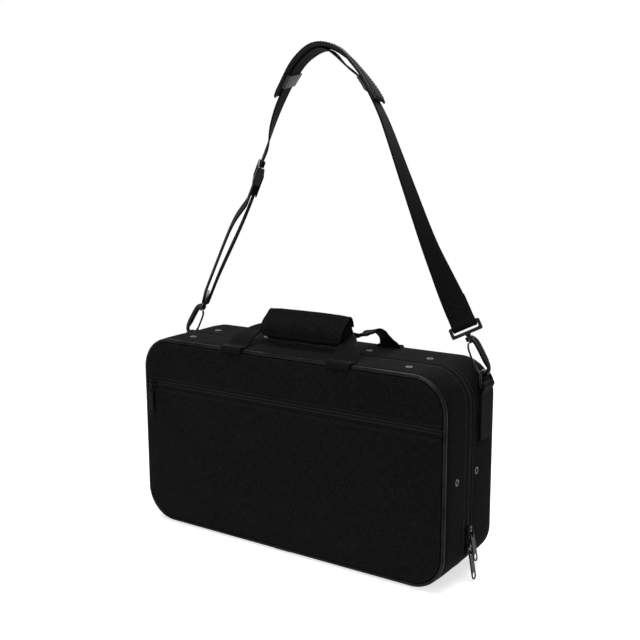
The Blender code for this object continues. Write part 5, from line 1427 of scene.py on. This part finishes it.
# %% Sleeve, flap and their tape
WRAP_AXIS = GRIPS[-1]
WRAP_HALF_LENGTH = 0.051
WRAP_RADIUS = 0.0115
FLAP_START, FLAP_END = math.radians(52), math.radians(201)
TAPE_CLOTH = 0.0008
FLAP_INNER = WRAP_RADIUS + 3 * GAP + 2 * TAPE_CLOTH
FLAP_CLOTH = 0.0024
FLAP_CORNER = 0.008
BINDING = 0.0036
SLEEVE_ROUND, SLEEVE_SUNK = 0.0032, 0.0007


def round_axis(x, angle, radius):
    """WRAP_AXIS + (x, cos(angle) * radius, sin(angle) * radius)."""
    return points_of(WRAP_AXIS[0] + x, WRAP_AXIS[1] + np.cos(angle) * radius, WRAP_AXIS[2] + np.sin(angle) * radius)


def ridge(angle):
    """How far the fold stands out along the top: a bell round 80 degrees."""
    return 0.0056 * np.exp(-((angle - math.radians(80)) / math.radians(21)) ** 2)


ends = np.sin(np.linspace(0.0, np.pi / 2, 6)) * SLEEVE_ROUND
sleeve_x = np.concatenate([-WRAP_HALF_LENGTH + ends, np.linspace(-0.046, 0.046, 46), WRAP_HALF_LENGTH - ends[::-1]])
drop = np.clip((np.abs(sleeve_x) - (WRAP_HALF_LENGTH - SLEEVE_ROUND)) / SLEEVE_ROUND, 0.0, 1.0)
sleeve_radius = WRAP_RADIUS - 0.0030 * (1 - np.sqrt(1 - drop ** 2))
around = np.arange(48) * 2 * np.pi / 48
sleeve_outer = round_axis(sleeve_x[:, None], around[None], sleeve_radius[:, None])
uneven = ripple(sleeve_outer, 0.00035, 0.02, 31) * (drop < 0.2)[:, None]
sleeve_radius = sleeve_radius[:, None] + ridge(around)[None] - SLEEVE_SUNK + uneven
sleeve_outer = round_axis(sleeve_x[:, None], around[None], sleeve_radius)
_, _, grip_rise, grip_normal = handle_plane(-1)
slot_turn = around - math.atan2(grip_rise[2], grip_rise[1])
boxed = lambda wave: np.sign(wave) * np.abs(wave) ** 0.45
slot = (np.outer(boxed(np.cos(slot_turn)) * 0.00755, grip_rise)
        + np.outer(boxed(np.sin(slot_turn)) * 0.0024, grip_normal))
slot_x = np.array([WRAP_HALF_LENGTH - 0.001, 0.0, -WRAP_HALF_LENGTH + 0.001])
sleeve_inner = WRAP_AXIS + slot[None] + points_of(slot_x, 0.0, 0.0)[:, None]
sleeve_piece = Skin().hoop(np.concatenate([sleeve_outer, sleeve_inner])).build(
    "wrap_sleeve_cloth", CLOTH, "front_handle", ("wrap_sleeve",), "cloth")

# %% [markdown]
# ## The flap of the wrap
# The flap is thick cloth that starts behind the grip, goes over the top and comes down in front.
# Its radius follows from how far in from the bound edge a point lies.

# %% The flap
FLAP_ARC = (FLAP_END - FLAP_START) * (FLAP_INNER + FLAP_CLOTH)


def flap_seat(share):
    """How far the flap's first fifth sinks towards the sleeve that it is sewn to."""
    return (FLAP_INNER - WRAP_RADIUS - GAP) * np.maximum(0.0, 1 - share * 5)


def flap_grid(share, u):
    """x and angle over the flap; the far corners are rounded by FLAP_CORNER."""
    left = (1 - share) * FLAP_ARC
    corner = np.clip(FLAP_CORNER - left, 0.0, FLAP_CORNER)
    reach = WRAP_HALF_LENGTH - FLAP_CORNER + np.sqrt(np.maximum(FLAP_CORNER ** 2 - corner ** 2, 0.0))
    return u * reach[:, None], FLAP_START + (FLAP_END - FLAP_START) * share[:, None] + u * 0.0


def flap_height(x, angle):
    """Radius of the outer face: full in the middle, round at the bound edge, pulled in at its seam."""
    share = (angle - FLAP_START) / (FLAP_END - FLAP_START)
    qx = np.abs(x) - (WRAP_HALF_LENGTH - FLAP_CORNER)
    qs = (share - 0.5) * FLAP_ARC - (FLAP_ARC / 2 - FLAP_CORNER)
    inside = FLAP_CORNER - np.hypot(np.maximum(qx, 0), np.maximum(qs, 0)) - np.minimum(np.maximum(qx, qs), 0)
    inside = np.maximum(inside, 0.0)
    rise = FLAP_CLOTH * (0.45 + 0.55 * quarter(inside / 0.0015))
    swell = 0.0009 * smooth_step(BINDING, 0.016, inside) - 0.00055 * np.exp(-((inside - BINDING) / 0.0008) ** 2)
    uneven = ripple(round_axis(x, angle, FLAP_INNER), 0.00040, 0.030, 17) * smooth_step(0.002, 0.012, inside)
    return FLAP_INNER + ridge(angle) - flap_seat(share) + rise + swell + uneven, inside


from_edge = np.array([0.17, 0.14, 0.11, 0.085, 0.06, 0.045, 0.032, 0.02, 0.011, 0.005, 0.0018, 0.0])
share = np.concatenate([[0.0, 0.01, 0.03], np.linspace(0.06, 0.8, 40), 1 - from_edge])
u = np.sign(np.linspace(-1, 1, 81)) * (1 - (1 - np.abs(np.linspace(-1, 1, 81))) ** 1.35)
flap_x, flap_angle = flap_grid(share, u[None, :])
outer_radius, flap_in = flap_height(flap_x, flap_angle)
inner_radius = FLAP_INNER + ridge(flap_angle) - flap_seat(share[:, None]) + flap_x * 0
flap = Skin()
flap.slab(round_axis(flap_x, flap_angle, outer_radius), round_axis(flap_x, flap_angle, inner_radius),
          0.5 * (1 - smooth_step(0.0004, 0.002, flap_in)))
flap_piece = flap.build("wrap_flap_cloth", CLOTH, "wrap_flap", ("wrap_flap",), "cloth")

# %% The flap's seam and the hook and loop tape
def on_flap(x, share):
    """Points on the flap's outer face, a hair inside it."""
    angle = FLAP_START + (FLAP_END - FLAP_START) * np.asarray(share)
    return round_axis(np.asarray(x), angle, flap_height(np.asarray(x), angle)[0] - 0.00012)


seam_x, seam_share = WRAP_HALF_LENGTH - BINDING, 1 - BINDING / FLAP_ARC
bend = np.linspace(0.0, np.pi / 2, 9)
bend_radius = FLAP_CORNER - BINDING
right_x = seam_x - bend_radius + bend_radius * np.cos(bend)
right_share = seam_share - (bend_radius - bend_radius * np.sin(bend)) / FLAP_ARC
seam_line_x = np.concatenate([[seam_x] * 12, right_x, np.linspace(seam_x - bend_radius, -seam_x + bend_radius, 24),
                              -right_x[::-1], [-seam_x] * 12])
seam_line_share = np.concatenate([np.linspace(0.08, right_share[0], 12), right_share, [seam_share] * 24,
                                  right_share[::-1], np.linspace(right_share[0], 0.08, 12)])
seam_path = on_flap(seam_line_x, seam_line_share)
seam_angle = FLAP_START + (FLAP_END - FLAP_START) * seam_line_share
flap_seam = Skin()
flap_seam.tube(stitch_grids(seam_path, points_of(0.0, np.cos(seam_angle), np.sin(seam_angle)), 0.0030, 0.0023, 0.00026))
flap_seam.build("flap_stitches", THREAD_FINISH, "wrap_flap", slot="cloth")

TAPE_HALF = WRAP_HALF_LENGTH - 0.012
for name, node, body, radius in (
        ("wrap_loop_tape", "wrap_loop_patch", "front_handle", WRAP_RADIUS + GAP),
        ("flap_hook_tape", "flap_hook_patch", "wrap_flap", WRAP_RADIUS + 2 * GAP + TAPE_CLOTH)):
    angle = np.linspace(math.radians(155), FLAP_END - math.radians(8), 16)[:, None]
    x = np.linspace(-TAPE_HALF, TAPE_HALF, 50)[None, :]
    tape = Skin()
    tape.slab(round_axis(x, angle, radius + TAPE_CLOTH), round_axis(x, angle, radius + x * 0))
    tape.build(name, PLUSH, body, (node,), "plush")

# %% [markdown]
# ## Rings in their tabs
# At each end of the case a tab of doubled webbing is sewn on, and a wire ring sits in its fold. The
# ring is a D: one straight bar in the fold, and a bow that the hook takes.

# %% Rings and tabs
RING_X, RING_Y, RING_Z = 0.1915, 0.027, 0.1915
RING_RADIUS, RING_WIRE, RING_LEAN = 0.0140, 0.0015, math.radians(15)
TAB_WIDTH, TAB_LAYER = 0.0235, 0.0016
TAB_LOW, TAB_HIGH, TAB_SEWN = 0.137, 0.1850, 0.1500
Y_WAY = np.array([0.0, 1.0, 0.0])


def ring_rise(side):
    """The way from the ring's bar to the top of its bow: upright, leaning in by RING_LEAN."""
    return np.array([-side * math.sin(RING_LEAN), 0.0, math.cos(RING_LEAN)])


def ring_bar(side):
    """The middle of the ring's bar."""
    return np.array([side * RING_X, RING_Y, RING_Z])


for hand, side in (("left", -1), ("right", 1)):
    bend = RING_WIRE * 1.4
    bow = np.radians(np.linspace(8, 172, 40))
    outline = np.concatenate([
        np.stack([np.linspace(-RING_RADIUS + bend, RING_RADIUS - bend, 14), np.zeros(14)], -1),
        [(RING_RADIUS - bend * 0.3, bend * 0.3)],
        np.stack([RING_RADIUS * np.cos(bow), RING_RADIUS * np.sin(bow)], -1),
        [(-RING_RADIUS + bend * 0.3, bend * 0.3)]])
    path = ring_bar(side) + outline[:, :1] * Y_WAY + outline[:, 1:] * ring_rise(side)
    Skin().hoop(carried(path, np.cross(Y_WAY, ring_rise(side)), circle(RING_WIRE, 16), closed=True)).build(
        f"d_ring_{hand}_wire", ENAMEL, f"ring_{hand}", (f"d_ring_{hand}",), "black_metal")
    inner_x, outer_x = HALF + GAP + TAB_LAYER / 2, HALF + GAP + TAB_LAYER * 1.5
    loop = np.radians(np.linspace(205, -25, 26))
    loop_radius = RING_WIRE + GAP + TAB_LAYER / 2
    profile = np.concatenate([
        np.stack([np.full(16, inner_x), np.linspace(TAB_LOW, TAB_HIGH, 16)], -1),
        np.stack([RING_X + loop_radius * np.cos(loop), RING_Z + loop_radius * np.sin(loop)], -1),
        np.stack([np.full(16, outer_x), np.linspace(TAB_HIGH, TAB_LOW, 16)], -1)])
    tab_path = points_of(side * profile[:, 0], RING_Y, profile[:, 1])
    Skin().tube(carried(tab_path, Y_WAY, band(TAB_WIDTH, TAB_LAYER, 0.0001, 9)), centred=True).build(
        f"ring_tab_{hand}_webbing", WEBBING, "rear_half", (f"ring_tab_{hand}",), "webbing")
    sewn = Skin()
    centre = np.array([side * (outer_x + TAB_LAYER / 2), RING_Y, TAB_SEWN])
    sewn.tube(box_stitch(centre, Y_WAY, np.array([0.0, 0.0, 1.0]), TAB_WIDTH - 0.005, 0.0200, (side, 0.0, 0.0)))
    sewn.build(f"ring_tab_{hand}_stitches", DARK_THREAD, "rear_half", slot="webbing")

# %% [markdown]
# ## The shoulder strap
# The strap is flat webbing held up above the case. From the right hook it is sewn back on itself,
# rises under the shoulder pad, comes down to a three-bar buckle and is doubled from there to the
# left hook. A path gives its middle line, and a second row of numbers says how far it has twisted.

# %% The strap's route
STRAP_Y = 0.027
STRAP_SPAN, STRAP_EYE_Z, STRAP_RISE = 0.166, 0.2480, 0.2700
STRAP_WEB, STRAP_CLOTH = 0.0245, 0.0015
EYE_BAR, EYE_BODY = 0.0034, 0.0036
STRAP_LAP = 0.030
PAD_SHIFT, SLACK = 0.007, 0.0042
ADJUSTER_LEAN = math.radians(26)
ADJUSTER_ABOVE, ADJUSTER_BELOW, ADJUSTER_END, ADJUSTER_BAR, ADJUSTER_LAP = 0.032, 0.036, 0.013, 0.0011, 0.024
LEFT_TWIST, LEFT_EYE = -0.42, -0.98
STRAP_ROUTE = np.array([
    (1.0, 0.0, -0.78), (0.942, 0.067, -0.58), (0.850, 0.176, -0.32), (0.748, 0.302, -0.13), (0.598, 0.518, 0.00),
    (0.480, 0.690, 0.09), (0.4195, 0.767, 0.13), (0.337, 0.848, 0.17), (0.241, 0.9165, 0.20), (0.1386, 0.972, 0.19),
    (0.0, 1.0, 0.03), (-0.1386, 0.959, -0.09), (-0.241, 0.885, -0.16), (-0.325, 0.803, -0.19),
    (-0.3855, 0.7217, -0.27)])
BUCKLE_AT = (-0.511, 0.535)
STRETCH_STEPS = 14


def strap_place(x_share, z_share):
    """Shares of the span and of the rise, as a point in the strap's plane."""
    return np.stack(np.broadcast_arrays(np.asarray(x_share) * STRAP_SPAN, STRAP_Y,
                                        STRAP_EYE_Z + np.asarray(z_share) * STRAP_RISE), axis=-1)


def web_across(ahead, twist):
    """The width's direction: along Y, turned about the run by a share of a quarter turn."""
    turn = np.asarray(twist) * np.pi / 2
    return Y_WAY * np.cos(turn)[..., None] + np.cross(ahead, Y_WAY) * np.sin(turn)[..., None]


def half_round(centre, side, down, radius, steps=14):
    """A half circle from side round to the other side, by way of down."""
    turn = np.linspace(0.0, np.pi, steps + 1)[1:-1, None]
    return centre + side * np.cos(turn) * radius + down * np.sin(turn) * radius


print("strap rises", STRAP_RISE)

# %% The main run
lean = np.array([-math.sin(ADJUSTER_LEAN), 0.0, -math.cos(ADJUSTER_LEAN)])
buckle = strap_place(*BUCKLE_AT)
rows = np.concatenate([strap_place(STRAP_ROUTE[:, 0], STRAP_ROUTE[:, 1]),
                       [buckle - lean * ADJUSTER_ABOVE * s for s in (1.0, 0.5)],
                       [buckle + lean * ADJUSTER_BELOW * s for s in (0.0, 0.5, 1.0)]])
twists = np.concatenate([STRAP_ROUTE[:, 2], [LEFT_TWIST] * 5])[:, None]
run = curve_through(rows, STRETCH_STEPS)
run_twist = curve_through(twists, STRETCH_STEPS)[:, 0]
run_ahead = headings(run)
ring_tops = {side: ring_bar(side) + ring_rise(side) * RING_RADIUS for side in (-1, 1)}
run_ahead[0] = unit(run[0] - ring_tops[1])
run_across = web_across(run_ahead, run_twist)
run_normal = unit(np.cross(run_ahead, run_across))
run_length = np.concatenate([[0.0], np.cumsum(np.linalg.norm(np.diff(run, axis=0), axis=1))])
top = int(np.argmax(run[:, 2]))
print("main run of the strap", round(run_length[-1], 3))

# %% [markdown]
# ## The strap's webbing
# One band from end to end: a sewn lap, a turn round the right hook's eye, the run over the shoulder
# and on to the left eye, a turn there, and back up inside to the buckle.

# %% The webbing
STRAP_BAND = band(STRAP_WEB, STRAP_CLOTH, 0.00016, 11)
PAD_FALL, PAD_RUN = 0.054, 0.060
pad_centre = run_length[top] - PAD_SHIFT
loop_radius = math.hypot(EYE_BAR / 2, EYE_BODY / 2) + GAP + STRAP_CLOTH / 2
lap_step = STRAP_CLOTH + GAP
near = np.maximum(0.0, 1 - run_length / (STRAP_LAP * 0.4))[:, None] ** 1.5
slack = np.clip((run_length - pad_centre + PAD_FALL) / PAD_RUN, 0.0, 1.0)[:, None]
main = run + run_normal * (loop_radius * near + SLACK * np.sin(np.pi * slack) ** 2)
lapped = run_length < STRAP_LAP
lap = (run - run_normal * (lap_step + (loop_radius - lap_step) * near))[lapped]
start = half_round(run[0], -run_normal[0], -run_ahead[0], loop_radius)
left_eye = strap_place(LEFT_EYE, 0.0)
left_down = unit(ring_tops[-1] - left_eye)
left_across = web_across(left_down, LEFT_TWIST)
left_out = unit(np.cross(left_down, left_across))
left_out = left_out * (-1 if left_out[0] > 0 else 1)
inward = unit(np.cross(lean, run_across[-1]))
inward = inward * (-1 if inward[0] < 0 else 1)
outer_rows = np.concatenate([[run[-1]], strap_place((-0.741, -0.918), (0.315, 0.110)),
                             [left_eye + left_out * loop_radius]])
outer_run = curve_through(outer_rows, STRETCH_STEPS)[1:]
left_turn = half_round(left_eye, left_out, left_down, loop_radius)
inner_offset = STRAP_CLOTH * 1.5 + 2 * GAP + ADJUSTER_BAR
inner_rows = np.concatenate([[left_eye - left_out * loop_radius], strap_place((-0.855, -0.672), (0.113, 0.304)),
                             [buckle + inward * inner_offset + lean * r for r in (ADJUSTER_BELOW, ADJUSTER_END)]])
inner_run = curve_through(inner_rows, STRETCH_STEPS)
strap_path = np.concatenate([lap[::-1], start, main, outer_run, left_turn, inner_run])
strap_width = np.concatenate([run_across[lapped][::-1], np.tile(run_across[0], (len(start), 1)), run_across,
                              np.tile(left_across, (len(outer_run) + len(left_turn) + len(inner_run), 1))])
strap = Skin()
strap.tube(carried(strap_path, strap_width, STRAP_BAND), centred=True)
strap.build("strap_webbing_woven", WEBBING, "strap", ("strap_webbing",), "webbing")
strap_length = float(np.linalg.norm(np.diff(strap_path, axis=0), axis=1).sum())
print("strap webbing length", round(strap_length, 3))

# %% The loop at the buckle, and the sewn end
end_radius = ADJUSTER_BAR + GAP + STRAP_CLOTH / 2
bar_centre = buckle + inward * inner_offset
shares = np.linspace(1.0, 0.0, 8)[:, None]
loop_path = np.concatenate([bar_centre - inward * end_radius + lean * ADJUSTER_LAP * shares,
                            half_round(bar_centre, -inward, -lean, end_radius),
                            bar_centre + inward * end_radius + lean * ADJUSTER_LAP * shares[::-1]])
Skin().tube(carried(loop_path, run_across[-1], STRAP_BAND), centred=True).build(
    "strap_end_loop_webbing", WEBBING, "adjuster", ("strap_end_loop",), "webbing")

SEWN_AT, SEWN_HEIGHT = 0.020, 0.014
strap_seams = Skin()
sewn = int(np.argmin(np.abs(run_length - SEWN_AT)))
for outward, off in ((run_normal[sewn], STRAP_CLOTH * 0.55), (-run_normal[sewn], lap_step + STRAP_CLOTH * 0.55)):
    strap_seams.tube(box_stitch(run[sewn] + outward * off, run_across[sewn], run_ahead[sewn],
                                STRAP_WEB - 0.006, SEWN_HEIGHT, outward))
strap_seams.build("strap_stitches", DARK_THREAD, "strap", slot="webbing")

# %% [markdown]
# ## The shoulder pad
# The pad is a foam strip between two layers of cloth, edged with piping, and it slides on the
# webbing through two bands of vinyl. Its section is a superellipse, whose power decides between
# an oval and a box: |a / half|^n + |b / thick|^n = 1.

# %% Pad, edge piping and keepers
PAD_WIDTH, PAD_THICK, PAD_LENGTH = 0.037, 0.0046, 0.158
PAD_CORD, PAD_SEAM_IN = 0.00135, 0.0042
KEEPER_LENGTH = 0.020
strap_seat = STRAP_CLOTH / 2 + GAP


def along_strap(start, end, step=0.0016):
    """Points, width directions and distances of the run between two distances."""
    wanted = np.linspace(start, end, int((end - start) / step) + 1)
    sample = lambda rows: np.stack([np.interp(wanted, run_length, rows[:, k]) for k in range(3)], -1)
    return sample(run), unit(sample(run_across)), wanted


def superellipse(half, thick, power, sides=36):
    """half and thick times (cos, sin), each raised to 2 / power with its sign kept."""
    turn = np.arange(sides) * 2 * np.pi / sides
    squared = lambda v: np.sign(v) * np.abs(v) ** (2 / power)
    return np.stack([half * squared(np.cos(turn)), thick * squared(np.sin(turn))], -1)


print("pad middle at", round(float(pad_centre), 3), "along the run")

# %% The pad, its edge and its seams
pad_path, pad_across, pad_at = along_strap(pad_centre - PAD_LENGTH / 2, pad_centre + PAD_LENGTH / 2, 0.0013)
to_end = np.minimum(pad_at - pad_at[0], pad_at[-1] - pad_at)
plan = 0.80 + 0.20 * quarter(to_end / 0.012)
loft_share = 0.25 + 0.75 * quarter(to_end / 0.0035)
section = superellipse(1.0, 1.0, 3.6)
pad_section = np.stack([section[None, :, 0] * (PAD_WIDTH / 2 * plan)[:, None],
                        section[None, :, 1] * (PAD_THICK / 2 * loft_share)[:, None] - strap_seat - PAD_THICK / 2], -1)
pad_points = carried(pad_path, pad_across, pad_section)
pad_piece = Skin().tube(pad_points).build("shoulder_pad_cloth", PAD_CLOTH, "strap", ("shoulder_pad",), "pad_cloth")

edge_skin = Skin()
pad_normal = unit(np.cross(headings(pad_path), pad_across))
for side in (-1, 1):
    edge_path = (pad_path + pad_across * (side * PAD_WIDTH / 2 * plan)[:, None]
                 - pad_normal * (strap_seat + PAD_THICK / 2))
    edge_skin.tube(carried(edge_path, pad_across, circle(PAD_CORD, 12)))
edge_skin.build("shoulder_pad_piping", PIPING, "strap", slot="piping")

pad_seams = Skin()
for side in (-1, 1):
    seam_path = (pad_path + pad_across * (side * (PAD_WIDTH / 2 * plan - PAD_SEAM_IN))[:, None]
                 - pad_normal * (strap_seat + PAD_THICK * (0.5 + 0.5 * loft_share) - STITCH_SINK)[:, None])
    pad_seams.tube(stitch_grids(seam_path[4:-4], -pad_normal[4:-4]))
pad_seams.build("shoulder_pad_stitches", DARK_THREAD, "strap", slot="pad_cloth")

# %% Two keepers
KEEPER_CLOTH, KEEPER_CORNER = 0.0010, 0.0016
for hand, side in (("left", -1), ("right", 1)):
    middle = pad_centre - side * (PAD_LENGTH / 2 - KEEPER_LENGTH)
    path, across, _ = along_strap(middle - KEEPER_LENGTH * 0.38, middle + KEEPER_LENGTH * 0.38, 0.0012)
    wide, slot_half = STRAP_WEB / 2 + 0.0040, STRAP_WEB / 2 + GAP
    floor_at, roof_at = strap_seat + KEEPER_CLOTH, strap_seat - 0.0001
    turn = np.linspace(0.0, np.pi / 2, 5)
    outside = np.concatenate([
        np.stack([wide - KEEPER_CORNER * (1 - np.sin(turn)), floor_at - KEEPER_CORNER * (1 - np.cos(turn))], -1),
        np.stack([wide + 0 * turn, np.linspace(0.0, -roof_at, 5)], -1)])
    mirror = outside[::-1] * [-1, 1]
    inside_right = np.array([(slot_half, -roof_at), (slot_half, 0.0), (slot_half, strap_seat)])
    keeper_section = np.concatenate([mirror, outside, inside_right, inside_right[::-1] * [-1, 1]])
    Skin().tube(carried(path, across, keeper_section)).build(
        f"pad_keeper_{hand}_vinyl", BAND_VINYL, "strap", (f"pad_keeper_{hand}",), "piping")

# %% [markdown]
# ## Snap hooks
# Each hook is moulded plastic: a collar that turns on the eye's stem, a stout spine that bends round
# into a bow, and a thin sprung gate that closes the mouth. The spine's section is a rounded square,
# so that it shows the two parting highlights of a moulding, and it is stout above the bow and slim
# in it, where the ring has to turn.

# %% Hooks and gates
HOOK_WIRE, HOOK_BOW, HOOK_NOSE = 0.0021, 0.0068, 0.0055
COLLAR_RADIUS, COLLAR_HEIGHT = 0.0045, 0.0050
EYE_SLOT_HEIGHT = 0.0046
GATE_WIDTH, GATE_PLATE = 0.0030, 0.0012
SPINE_PLACES = (0.0, 0.12, 0.42, 0.52, 0.97, 1.0)
SPINE_STOUTNESS = (1.2, 1.42, 1.38, 0.92, 0.88, 0.6)
for hand, side, eye in (("left", -1, left_eye), ("right", 1, strap_place(1.0, 0.0))):
    down = unit(ring_tops[side] - eye)
    out = np.cross(Y_WAY, down)
    out = out * (1 if out[0] * side > 0 else -1)
    plate_end = EYE_BAR / 2 + EYE_SLOT_HEIGHT + EYE_BAR
    collar_start = plate_end + EYE_BODY * 0.6
    collar_end = collar_start + COLLAR_HEIGHT
    bow_at = float((ring_tops[side] - down * (HOOK_BOW - HOOK_WIRE - RING_WIRE - GAP) - eye) @ down)
    shoulder = collar_end + COLLAR_HEIGHT * 0.8
    turn = np.linspace(0.0, np.pi, 26)
    route = np.concatenate([
        [(COLLAR_RADIUS * 0.45, collar_start + COLLAR_HEIGHT * 0.45), (HOOK_BOW * 0.58, collar_end),
         (HOOK_BOW * 0.80, shoulder + 0.0012), (HOOK_BOW * 0.92, (shoulder + bow_at) / 2)],
        np.stack([HOOK_BOW * np.cos(turn), bow_at + HOOK_BOW * np.sin(turn)], -1),
        [(-HOOK_BOW, bow_at - HOOK_NOSE)]])
    route = np.concatenate([curve_through(route[:5], 6)[:-1], route[4:]])
    wire_path = eye + route[:, :1] * out + route[:, 1:] * down
    stout = np.interp(np.linspace(0.0, 1.0, len(route)), SPINE_PLACES, SPINE_STOUTNESS)
    section = superellipse(HOOK_WIRE, HOOK_WIRE, 2.7, 20)[None] * stout[:, None, None]
    hook = Skin()
    hook.tube(carried(wire_path, Y_WAY, section))
    collar_profile = [(collar_start, 0.0030), (collar_start + 0.0003, 0.0038), (collar_start + 0.0010, COLLAR_RADIUS),
                      (collar_start + 0.0024, COLLAR_RADIUS * 0.93), (collar_end - 0.0010, COLLAR_RADIUS),
                      (collar_end - 0.0003, 0.0038), (collar_end, 0.0031)]
    hook.tube(lathe(collar_profile, eye, down, 26))
    hook.build(f"snap_hook_{hand}_moulded", PLASTIC, f"hook_{hand}", (f"snap_hook_{hand}",), "plastic")
    gate_top, gate_end = collar_end + GAP + GATE_PLATE / 2, bow_at - HOOK_NOSE - GAP
    gate_route = np.array([(-(COLLAR_RADIUS - GATE_PLATE), gate_top), (-HOOK_BOW * 0.86, gate_top + HOOK_NOSE),
                           (-HOOK_BOW, gate_end - 0.003), (-HOOK_BOW, gate_end)])
    gate_path = curve_through(eye + gate_route[:, :1] * out + gate_route[:, 1:] * down, 8)
    Skin().tube(carried(gate_path, Y_WAY, superellipse(GATE_WIDTH / 2, GATE_PLATE / 2, 3.0, 16))).build(
        f"hook_gate_{hand}_lever", ENAMEL, f"gate_{hand}", (f"hook_gate_{hand}",), "black_metal")

# %% [markdown]
# ## Floor, backdrop and light
# The case was photographed on pure white under large soft lamps. The floor keeps a faint shadow.
# For the camera, and for what mirrors or lets light through, floor and surroundings show as plain
# white, and that white comes from their own shaders, so it adds no light to the black cloth.

# %% The floor
WHITE = (1.0, 1.0, 1.0, 1.0)
PAPER = (0.93, 0.93, 0.93, 1.0)
SHADOW_LIFT = 0.68
FADE_START, FADE_END = 0.45, 1.1


def shown(graph):
    """The highest of three 0 or 1 signals: a ray from the camera, one that mirrors, one let through."""
    rays = graph.node("LightPath", {}, {}).socket.node.outputs
    kinds = (Value(graph, rays[kind]) for kind in ("Is Camera Ray", "Is Glossy Ray", "Is Transmission Ray"))
    seen, mirrored, let_through = kinds
    return seen.maths("MAXIMUM", mirrored.maths("MAXIMUM", let_through))


def floor_finish():
    """White paper near the case that fades to plain white with distance from the middle."""
    graph = Graph("studio_floor")
    x, y, _ = graph.axes(graph.place("Object"))
    away = (x * x + y * y) ** 0.5
    seen = shown(graph)
    white = graph.node("Emission", {}, {"Color": WHITE, "Strength": seen})
    paper = graph.node("BsdfDiffuse", {}, {"Color": PAPER})
    lift = graph.node("Emission", {}, {"Color": WHITE, "Strength": seen * SHADOW_LIFT})
    lit = graph.node("AddShader", {}, {0: paper, 1: lift})
    return graph.finish(graph.node("MixShader", {}, {0: away.between(FADE_START, FADE_END), 1: lit, 2: white}))


SPOKES = 64
angle = np.linspace(0.0, 2 * np.pi, SPOKES + 1)[:-1]
rings = np.array([0.02, 0.3, 0.8, 1.6, 3.0])
floor_mesh = bpy.data.meshes.new("floor")
floor_points = points_of(np.cos(angle) * rings[:, None], np.sin(angle) * rings[:, None], 0.0).reshape(-1, 3)
r, a = (axis.ravel() for axis in np.meshgrid(np.arange(len(rings) - 1), np.arange(SPOKES), indexing="ij"))
ring_quads = np.stack([r * SPOKES + a, r * SPOKES + (a + 1) % SPOKES,
                       (r + 1) * SPOKES + (a + 1) % SPOKES, (r + 1) * SPOKES + a], axis=-1)
floor_mesh.from_pydata(floor_points.tolist(), [], ring_quads.tolist() + [list(range(SPOKES))])
floor_mesh.materials.append(floor_finish())
floor = bpy.data.objects.new("floor", floor_mesh)
bpy.context.collection.objects.link(floor)
floor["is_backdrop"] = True
print("floor", len(ring_quads), "quads")

# %% The surroundings and the lamps
SURROUND = 0.15
world = bpy.data.worlds.new("studio")
bpy.context.scene.world = world
studio = Graph("studio", world)
soft = studio.node("Background", {}, {"Color": WHITE, "Strength": SURROUND})
plain = studio.node("Background", {}, {"Color": WHITE, "Strength": 1.0})
studio.finish(studio.node("MixShader", {}, {0: shown(studio), 1: soft, 2: plain}), "OutputWorld")


def softbox(name, place, aim, size, power):
    """A rectangular lamp that points from its place to its aim."""
    lamp = bpy.data.lights.new(name, "AREA")
    lamp.shape, lamp.size, lamp.size_y, lamp.energy = "RECTANGLE", size[0], size[1], power
    holder = bpy.data.objects.new(name, lamp)
    holder.location = place
    holder.rotation_euler = (Vector(aim) - Vector(place)).to_track_quat("-Z", "Y").to_euler()
    bpy.context.collection.objects.link(holder)


softbox("top_box", (0.1, -0.2, 1.7), (0.0, 0.0, 0.2), (1.5, 1.1), 18.5)
softbox("front_box", (-0.3, -2.0, 0.7), (0.0, 0.0, 0.15), (1.1, 1.2), 14.5)
softbox("right_box", (1.7, -0.5, 0.8), (0.1, 0.0, 0.15), (0.7, 1.1), 0.5)
softbox("rear_box", (-0.3, 1.6, 1.1), (0.0, 0.0, 0.2), (1.2, 0.8), 9.0)

# %% [markdown]
# ## Measure
# The box round the dressed model, with the floor left out, is measured and printed. The
# dressed model has to stay in the CAD model's box, apart from what cloth may stand proud.

# %% Sizes, and the last line
low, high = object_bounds()
print("visual box", [round(v, 4) for v in low], [round(v, 4) for v in high])
